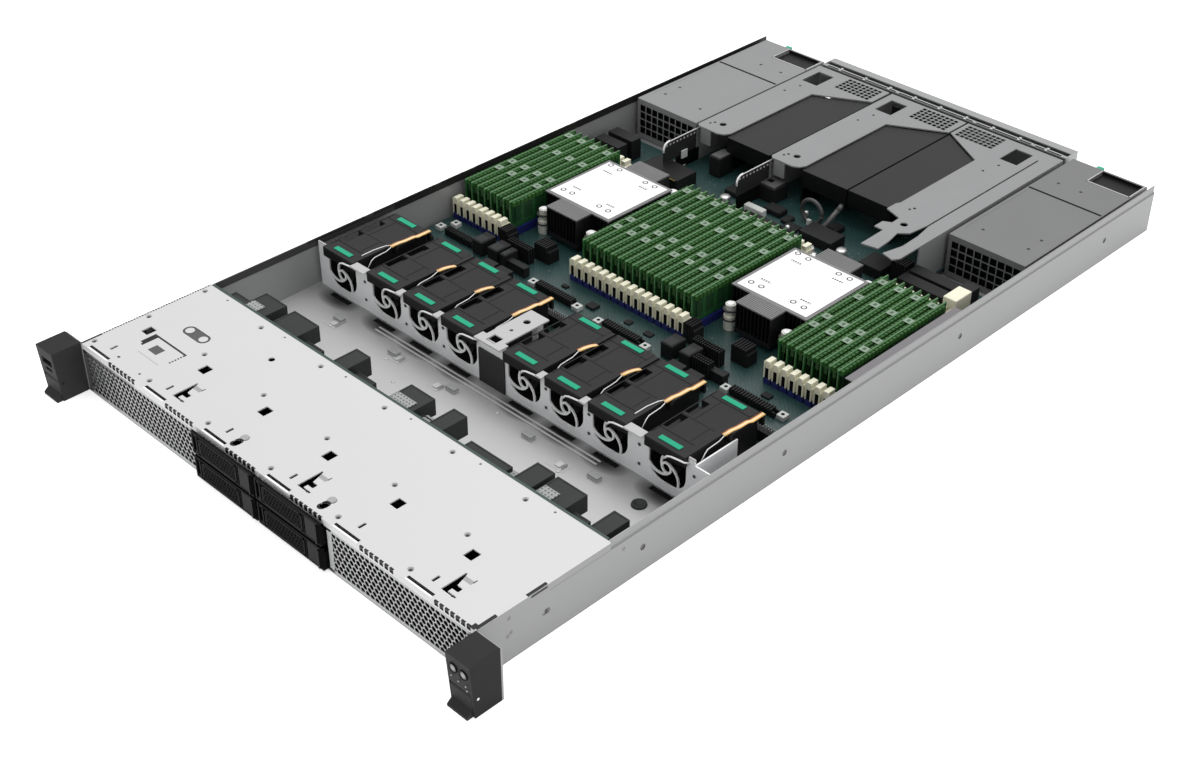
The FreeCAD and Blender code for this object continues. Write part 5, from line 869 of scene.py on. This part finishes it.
def memory_clips():
    """Folded silver clips that tie neighbouring modules together, with a dark middle."""
    for bank in BANKS:
        node, places, low, high = memory_bank("modules", bank)
        top = high[2]
        spots = [(place + MEMORY_PITCH / 2, depth) for place in places[::2] for depth in (409.5, 425.0, 464.0, 494.5)]
        slabs("memory_clips_" + bank, pads(spots, 3.5, 3.4, top - 0.05, top + 0.35), pale_clip, node, 0.15)
        slabs("clip_middles_" + bank, pads(spots, 1.2, 1.6, top + 0.3, top + 0.42), clip_middle, node)


def sink_labels():
    """A plate with printed rings and dashes on each heatsink, and the screws, collars and bails of its nuts."""
    ink = moulded("label_ink", grey(0.04), roughness=0.6)
    grey_ink = moulded("label_grey", grey(0.03), roughness=0.6)
    grey_ink.over((grey_ink.across / 2.3).fraction() < 0.4, WHITE_LABEL)
    white = moulded("label_white", WHITE_LABEL, roughness=0.45, wear=0.02)
    rings = ((-28, -27), (-18, -26.5), (14, -26), (25, -26.5), (-30, 33), (-18.5, 32), (13, 31.5), (24, 31.5))
    dashes = ((-21, -17.5), (-22.5, 21.5), (20.5, -19), (18.5, 23))
    bail = np.array(((-5.6, 0.0, 19.5), (-5.8, 4.0, 24.0), (-3.6, 7.6, 26.0), (3.6, 7.6, 26.0), (5.8, 4.0, 24.0),
                     (5.6, 0.0, 19.5)))
    for side in SIDES:
        node = "heatsink_" + side
        low, high = span(node)
        across, depth, top = (low[0] + high[0]) / 2, (low[1] + high[1]) / 2, high[2]
        slabs("label_" + side, pads([(across, depth)], 35, 36, top, top + 0.35), white, node, 0.1)
        spots = [(across + aside, depth + along, top + 0.34) for aside, along in rings]
        posts("label_rings_" + side, spots, [(2.7, 0.0), (2.7, 0.05)], ink, node, smooth=False)
        posts("label_dots_" + side, spots, [(1.6, 0.02), (1.6, 0.09)], white, node, smooth=False)
        lines = pads([(across + aside, depth + along) for aside, along in dashes], 5.0, 1.0, top + 0.3, top + 0.4)
        slabs("label_dashes_" + side, lines, grey_ink, node)
        nuts = [(across + aside, depth + along) for aside in (-NUT_ASIDE, NUT_ASIDE)
                for along in (-NUT_ALONG, NUT_ALONG)]
        screws = [(*nut, 28.9) for nut in nuts]
        posts("sink_screws_" + side, screws, [(3.4, 0.0), (3.4, 0.7), (2.6, 1.1)], white, node)
        collars = [(*nut, height) for nut in nuts for height in (15.0, 23.5)]
        posts("sink_collars_" + side, collars, [(6.1, 0.0), (6.1, 1.3)], ink, node, smooth=False)
        bails = [(*nut, 0.0) + bail * (1.0, 1.0 if nut[1] < depth else -1.0, 1.0) for nut in nuts]
        wires("sink_bails_" + side, bails, 0.45, clip_metal, node)


def header_pins():
    """Two rows of thin pins that stand in each header's housing."""
    for name, left, front, length, top in (("outer_left", -172.0, 303.0, 44.0, 15.6),
                                           ("left", -47.0, 301.0, 48.0, 16.6),
                                           ("right", 28.0, 299.0, 48.0, 16.6),
                                           ("outer_right", 156.0, 302.0, 48.0, 16.6)):
        spots = [(left + 1.45 + PIN_PITCH * step, front + 1.75 + PIN_PITCH * row)
                 for step in range(int(length / PIN_PITCH)) for row in range(2)]
        slabs("pins_" + name, pads(spots, 0.25, 0.25, top - 3.0, top + 4.0), clip_metal, "board_connectors")


def board_front():
    """Power plugs, combs, square pads and blocks on the board between the fans and the memory."""
    spots = ((-84.0, 334.0), (-32.0, 333.0), (-5.0, 330.0), (46.0, 330.0), (127.0, 333.0), (180.0, 336.0),
             (-206.0, 340.0), (-200.0, 352.0))
    slabs("board_pads", pads(spots, 3.6, 3.6, BOARD_TOP, 10.5), pale_pad, "system_board", 0.3)
    posts("board_pad_holes", [(*spot, 10.45) for spot in spots], [(1.5, 0.0), (1.5, 0.12)], black_plastic,
          "system_board", smooth=False)
    combs = []
    for left, right, front in ((-78.0, -36.0, 331.0), (1.0, 42.0, 328.0), (132.0, 176.0, 331.0),
                               (-196.0, -160.0, 336.0)):
        combs += standing(BOARD_TOP, [(left, front, right, front + 1.2, 11.5),
                                      (left, front + 4.8, right, front + 6.0, 11.5)])
        combs += teeth(left, right, front - 0.4, front + 6.4, 13.0, 2.6)
    slabs("board_combs", combs, dark_plastic, "board_connectors")
    tall = [(-158.0, 333.0, -146.0, 350.0, 20.0), (-139.0, 333.0, -127.0, 350.0, 20.0),
            (-124.0, 333.0, -117.0, 348.0, 20.0), (60.0, 332.0, 72.0, 349.0, 20.0), (79.0, 332.0, 90.0, 349.0, 20.0)]
    slabs("board_blocks", standing(BOARD_TOP, tall), dark_plastic, "board_connectors", 0.6)
    tops = [(left + 1.2, front + 1.2, top - 0.1, right - 1.2, rear - 6.0, top + 0.3)
            for left, front, right, rear, top in tall]
    slabs("board_block_tops", tops, plug_plastic, "board_connectors", 0.15)
    fins = []
    for left, right, front in ((-134.0, -106.0, 352.0), (76.0, 106.0, 351.0), (93.0, 112.0, 333.0)):
        for row in range(3):
            fins += teeth(left, right, front + 2.6 * row, front + 2.6 * row + 1.6, 21.0, 2.4)
    for left, right, front, rear, top in ((-149.6, -138.0, 357.0, 368.0, 24.0), (-114.0, -97.0, 364.0, 376.0, 22.0),
                                          (58.6, 70.0, 360.0, 371.0, 24.0), (103.0, 119.0, 366.0, 378.0, 22.0),
                                          (116.0, 134.0, 549.0, 561.0, 24.0)):
        fins.append((left, front, BOARD_TOP, right, rear, top - 4.0))
        fins += teeth(left, right, front - 0.5, rear + 0.5, top, 2.6)
    slabs("board_fins", fins, dark_plastic, "board_connectors")
    chips = [(-30.0, 340.0, -21.0, 348.0, 9.0), (8.0, 345.0, 14.0, 351.0, 8.0), (-66.0, 348.0, -60.0, 352.0, 8.2),
             (30.0, 344.0, 38.0, 350.0, 8.0), (150.0, 346.0, 158.0, 352.0, 8.4), (110.0, 340.0, 116.0, 350.0, 9.0)]
    slabs("board_chips", standing(BOARD_TOP, chips), dark_plastic, "system_board", 0.2)


def board_rear():
    """A tall cream block, gold contacts, chips, coils and cans on the board behind the memory."""
    slabs("board_cream_block", [(187.3, 519.6, BOARD_TOP, 199.7, 541.0, 34.6)], cream_plastic,
          "board_connectors", 0.5)
    slabs("board_gold", [(-168.0, 534.0, BOARD_TOP, -112.0, 536.5, 9.0), (-150.0, 529.2, 18.1, -108.0, 530.2, 18.4)],
          gold_pin, "board_connectors")
    chips = [(-15.0, 514.0, 10.0, 524.0, 8.4), (-60.0, 520.0, -50.0, 530.0, 8.6), (58.0, 522.0, 66.0, 530.0, 9.0),
             (-84.0, 534.0, -72.0, 546.0, 8.6), (-40.0, 545.0, -30.0, 560.0, 9.6), (0.0, 546.0, 14.0, 560.0, 9.0)]
    slabs("board_rear_chips", standing(BOARD_TOP, chips), dark_plastic, "system_board", 0.2)
    coils = [(24.0, 536.0, BOARD_TOP), (66.0, 548.0, BOARD_TOP), (-64.0, 548.0, BOARD_TOP), (44.0, 532.0, BOARD_TOP)]
    posts("board_coils", coils, [(4.6, 0.0), (4.8, 2.0), (4.8, 6.0), (4.2, 7.2), (1.6, 7.4)], clip_metal,
          "system_board", sides=20)
    cans = [(-90.0 + 11.0 * step, 524.0 + 3.0 * (step % 2), BOARD_TOP) for step in range(16) if step not in (5, 6, 7)]
    posts("board_cans", cans, [(2.4, 0.0), (2.5, 0.6), (2.5, 6.4), (2.2, 6.9)], clip_metal, "system_board")


def under_risers():
    """Connectors, a ring, a plate and a slanted lever below the riser cards' front, and the wings' rolled edges,
    painted pale as a highlight.
    """
    plugs = [(-110.0, 577.0, -97.0, 596.0, 26.0), (-56.5, 575.0, -31.0, 595.0, 21.5),
             (-30.0, 560.0, -12.0, 572.0, 12.0), (-8.0, 556.0, 0.0, 568.0, 10.0), (14.0, 556.0, 24.0, 562.0, 9.0),
             (30.0, 572.0, 42.0, 584.0, 12.0), (43.5, 549.0, 53.5, 562.0, 14.0), (-76.0, 560.0, -58.0, 574.0, 12.0)]
    slabs("riser_plugs", standing(BOARD_TOP, plugs), dark_plastic, "board_connectors", 0.8)
    lids = [(-109.0, 578.5, 25.9, -98.0, 595.0, 26.4), (-55.0, 577.0, 21.4, -33.0, 593.0, 22.0),
            (44.3, 549.8, 13.9, 52.7, 561.2, 14.4)]
    slabs("riser_plug_lids", lids, lid_grey, "board_connectors", 0.2)
    slabs("riser_plug_marks", [(-47.0, 583.0, 21.9, -41.0, 588.0, 22.2)], black_plastic, "board_connectors")
    slabs("riser_plate", [(-43.0, 548.0, BOARD_TOP, -22.0, 555.0, 14.0)], pale_pad, "board_connectors", 0.8)
    bits = [(10.8, 568.6, 15.0, 571.4, 12.0), (-123.5, 556.0, -118.0, 560.0, 9.0)]
    slabs("riser_bits", standing(BOARD_TOP, bits), pale_pad, "board_connectors", 0.3)
    posts("riser_studs", [(6.7, 548.8, BOARD_TOP), (2.2, 579.8, BOARD_TOP)], [(2.2, 0.0), (2.2, 5.0), (1.2, 5.8)],
          clip_metal, "board_connectors")
    wires("board_ring", [hoop((12.9, 573.0, 18.4), 11.0, 2)], 1.9, ring_grey, "board_connectors")
    wires("board_loop", [hoop((-140.5, 571.0, 8.0), 5.4, 1)], 0.7, clip_metal, "board_connectors")
    wires("board_lever", [[(30.0, 560.0, 8.4), (33.0, 570.0, 17.0), (36.0, 579.0, 26.5)],
                          [(35.8, 578.6, 26.4), (36.4, 582.0, 28.4), (35.0, 584.0, 28.4)]], 2.4, ring_grey,
          "board_connectors")
    # The wings' rolled edges are real; their pale colour is a painted highlight.
    rim = ((0.6, 545.0, 30.0), (0.6, 545.2, 34.2), (0.6, 546.6, 37.2), (0.6, 549.6, 38.9), (0.6, 553.0, 39.2))
    for side in ("left", "middle"):
        wires("wing_rim_" + side, [moved(VENT_PLACES[side][1], rim)], 0.9, rim_highlight, "riser_bracket_" + side)
    slabs("wing_board", [(-50.2, 546.0, 6.6, -48.6, 592.0, 20.0), (-137.2, 562.0, 6.6, -135.6, 592.0, 20.0)],
          black_plastic, "board_connectors")
    slabs("wing_clip", [(-134.6, 566.0, 17.0, -133.2, 574.0, 25.0)], pale_pad, "riser_bracket_left", 0.3)


def wall_ledge():
    """The grey shelf between the right memory bank and the side wall."""
    slabs("wall_ledge", [(206.0, 372.0, 37.4, 218.0, 508.0, 38.2)], ledge_grey, "chassis_tray", 0.3)


def memory_edges():
    """Short blocks along the top of each memory module, and the green strips that fill the gaps."""
    for bank in BANKS:
        node, places, low, high = memory_bank("modules", bank)
        front, top = low[1], high[2]
        spots = [(place + side, front + 3.7 + 4.4 * step) for place in places for side in (-1.8, 1.8)
                 for step in range(29)]
        slabs("module_blocks_" + bank, pads(spots, 1.15, 1.7, top - 4.8, top - 0.7), edge_green, node)
        fills = [(place + 2.6, front + 1.0, top - 9.0, place + 5.4, front + 132.0, top - 3.6)
                 for place in places[:-1]]
        slabs("module_spans_" + bank, fills, span_green, node)


def supply_details():
    """The pale frames of the windows of the power supplies."""
    for side in SIDES:
        right, rear, top = span("psu_" + side)[1]
        strips = [(right - 43.2, rear - 39.0, right - 42.2, rear - 13.2, top + 0.3),
                  (right - 2.2, rear - 39.0, right - 1.2, rear - 13.2, top + 0.3),
                  (right - 43.2, rear - 39.0, right - 1.2, rear - 38.0, top + 0.3)]
        slabs("psu_frame_" + side, standing(top - 0.3, strips), clip_metal, "psu_" + side)


def rear_slots():
    """Dark and light stripes of the expansion slots in the rear panel."""
    low, high = span("rear_panel")
    front, top = low[1], high[2]
    dark, light = [], []
    for left, right in ((-131.0, -50.0), (-46.0, 37.0), (41.0, 100.0), (104.0, 131.0)):
        dark += [(left, front + start, top - 0.25, right, front + start + 2.0, top + 0.03) for start in (0.5, 4.2)]
        light.append((left - 1.0, front + 2.9, top - 0.2, right + 1.0, front + 3.8, top + 0.04))
    for step in range(9):
        left = -118.0 + 29.0 * step
        light.append((left, front + 0.5, top - 0.2, left + 2.6, front + 6.2, top + 0.04))
    slabs("panel_dark", dark, black_plastic, "rear_panel")
    slabs("panel_light", light, clip_metal, "rear_panel")


def ear_details():
    """Dark rings round the two buttons, and the indicator dots below them."""
    face = span("ear_right")[0][1]
    rings = [hoop((across, face, BUTTON_HEIGHT), 3.3, 2, 25) for across in BUTTON_PLACES]
    wires("button_rings", rings, 0.45, black_plastic, "ear_right")
    marks = [(224.2, face + 0.5, 26.4), (230.6, face + 0.5, 25.6), (237.0, face + 0.5, 25.6),
             (237.9, face + 0.6, 22.4)]
    posts("ear_marks", marks, [(0.6, -0.5), (0.55, 0.3)], ear_mark, "ear_right", sides=10, axis=1)


def riser_details():
    """Dark screw sockets and small holes in the tops of the riser brackets."""
    for name, across in (("left", -120.0), ("middle", -33.0), ("right", 104.0)):
        node = "riser_bracket_" + name
        top = span(node)[1][2]
        posts("riser_screws_" + name, [(across - 8.0, 604.0, top)], [(1.3, -0.4), (1.3, 0.06)], black_plastic, node,
              smooth=False)
        holes = [(across - 10.0, 600.0, top), (across - 6.0, 700.0, top), (across - 2.0, 718.0, top)]
        posts("riser_holes_" + name, holes, [(1.2, -0.3), (1.2, 0.06)], black_plastic, node, sides=10, smooth=False)


for add_pieces in (front_grilles, carrier_faces, fan_caps, fan_wires, wall_details, bay_floor, plug_fronts,
                   socket_legs, memory_clips, sink_labels, header_pins, board_front, board_rear, under_risers,
                   wall_ledge, memory_edges, supply_details, rear_slots, ear_details, riser_details):
    add_pieces()


# The camera as solved from the photograph: angles in degrees, lens and place in mm.
CAMERA_AZIMUTH, CAMERA_ELEVATION, CAMERA_ROLL = 44.756, 35.108, 0.2146
CAMERA_LENS = 53.39
CAMERA_SPOT = (824.23, -506.46, 776.36)


def place_camera():
    """The camera stands where the photograph was taken, and looks along its line of sight."""
    azimuth, elevation, roll = map(math.radians, (CAMERA_AZIMUTH, CAMERA_ELEVATION, CAMERA_ROLL))
    back = Vector((math.sin(azimuth) * math.cos(elevation), -math.cos(azimuth) * math.cos(elevation),
                   math.sin(elevation)))
    level = Vector((0, 0, 1)).cross(back).normalized()
    upright = back.cross(level)
    right = level * math.cos(roll) + upright * math.sin(roll)
    up = upright * math.cos(roll) - level * math.sin(roll)
    data = bpy.data.cameras.new("camera")
    data.lens = CAMERA_LENS
    data.sensor_width = 36.0
    data.clip_start = 0.05
    camera = bpy.data.objects.new("camera", data)
    spot = Vector(np.array(CAMERA_SPOT) * MM + ORIGIN)
    camera.matrix_world = Matrix.Translation(spot) @ Matrix((right, up, back)).transposed().to_4x4()
    bpy.context.scene.collection.objects.link(camera)
    bpy.context.scene.camera = camera


def add_light(name, place, size, power):
    """A square area light that faces the middle of the floor, placed in metres."""
    data = bpy.data.lights.new(name, "AREA")
    data.size = size
    data.energy = power
    lamp = bpy.data.objects.new(name, data)
    lamp.matrix_world = Matrix.Translation(place) @ (-Vector(place)).to_track_quat("-Z", "Y").to_matrix().to_4x4()
    bpy.context.scene.collection.objects.link(lamp)


def light_the_stage():
    """A pale floor and world, with a broad light above and a weaker one at the right."""
    floor_glow, world_glow, reach = 0.56, 0.86, 6.0
    floor_paint = Paint("pale_floor", roughness=0.9, emission_color=(1.0, 1.0, 1.0, 1.0),
                        emission_strength=floor_glow)
    floor_paint.feed("Base Color", floor_paint.mix(floor_paint.noise(3.0), grey(0.93), grey(0.95)))
    mesh = bpy.data.meshes.new("floor")
    mesh.from_pydata([(-reach, -reach, 0), (reach, -reach, 0), (reach, reach, 0), (-reach, reach, 0)], [],
                     [(0, 1, 2, 3)])
    mesh.materials.append(floor_paint.material)
    floor = bpy.data.objects.new("floor", mesh)
    bpy.context.scene.collection.objects.link(floor)
    world = bpy.data.worlds.new("studio")
    world.use_nodes = True
    background = world.node_tree.nodes["Background"]
    background.inputs["Color"].default_value = (1.0, 1.0, 1.0, 1.0)
    background.inputs["Strength"].default_value = world_glow
    bpy.context.scene.world = world
    add_light("top_light", (-0.3, 0.5, 1.9), 1.6, 20.0)
    add_light("right_light", (1.8, 0.2, 0.8), 1.0, 3.0)
    bpy.context.scene.view_settings.view_transform = "Standard"


place_camera()
light_the_stage()
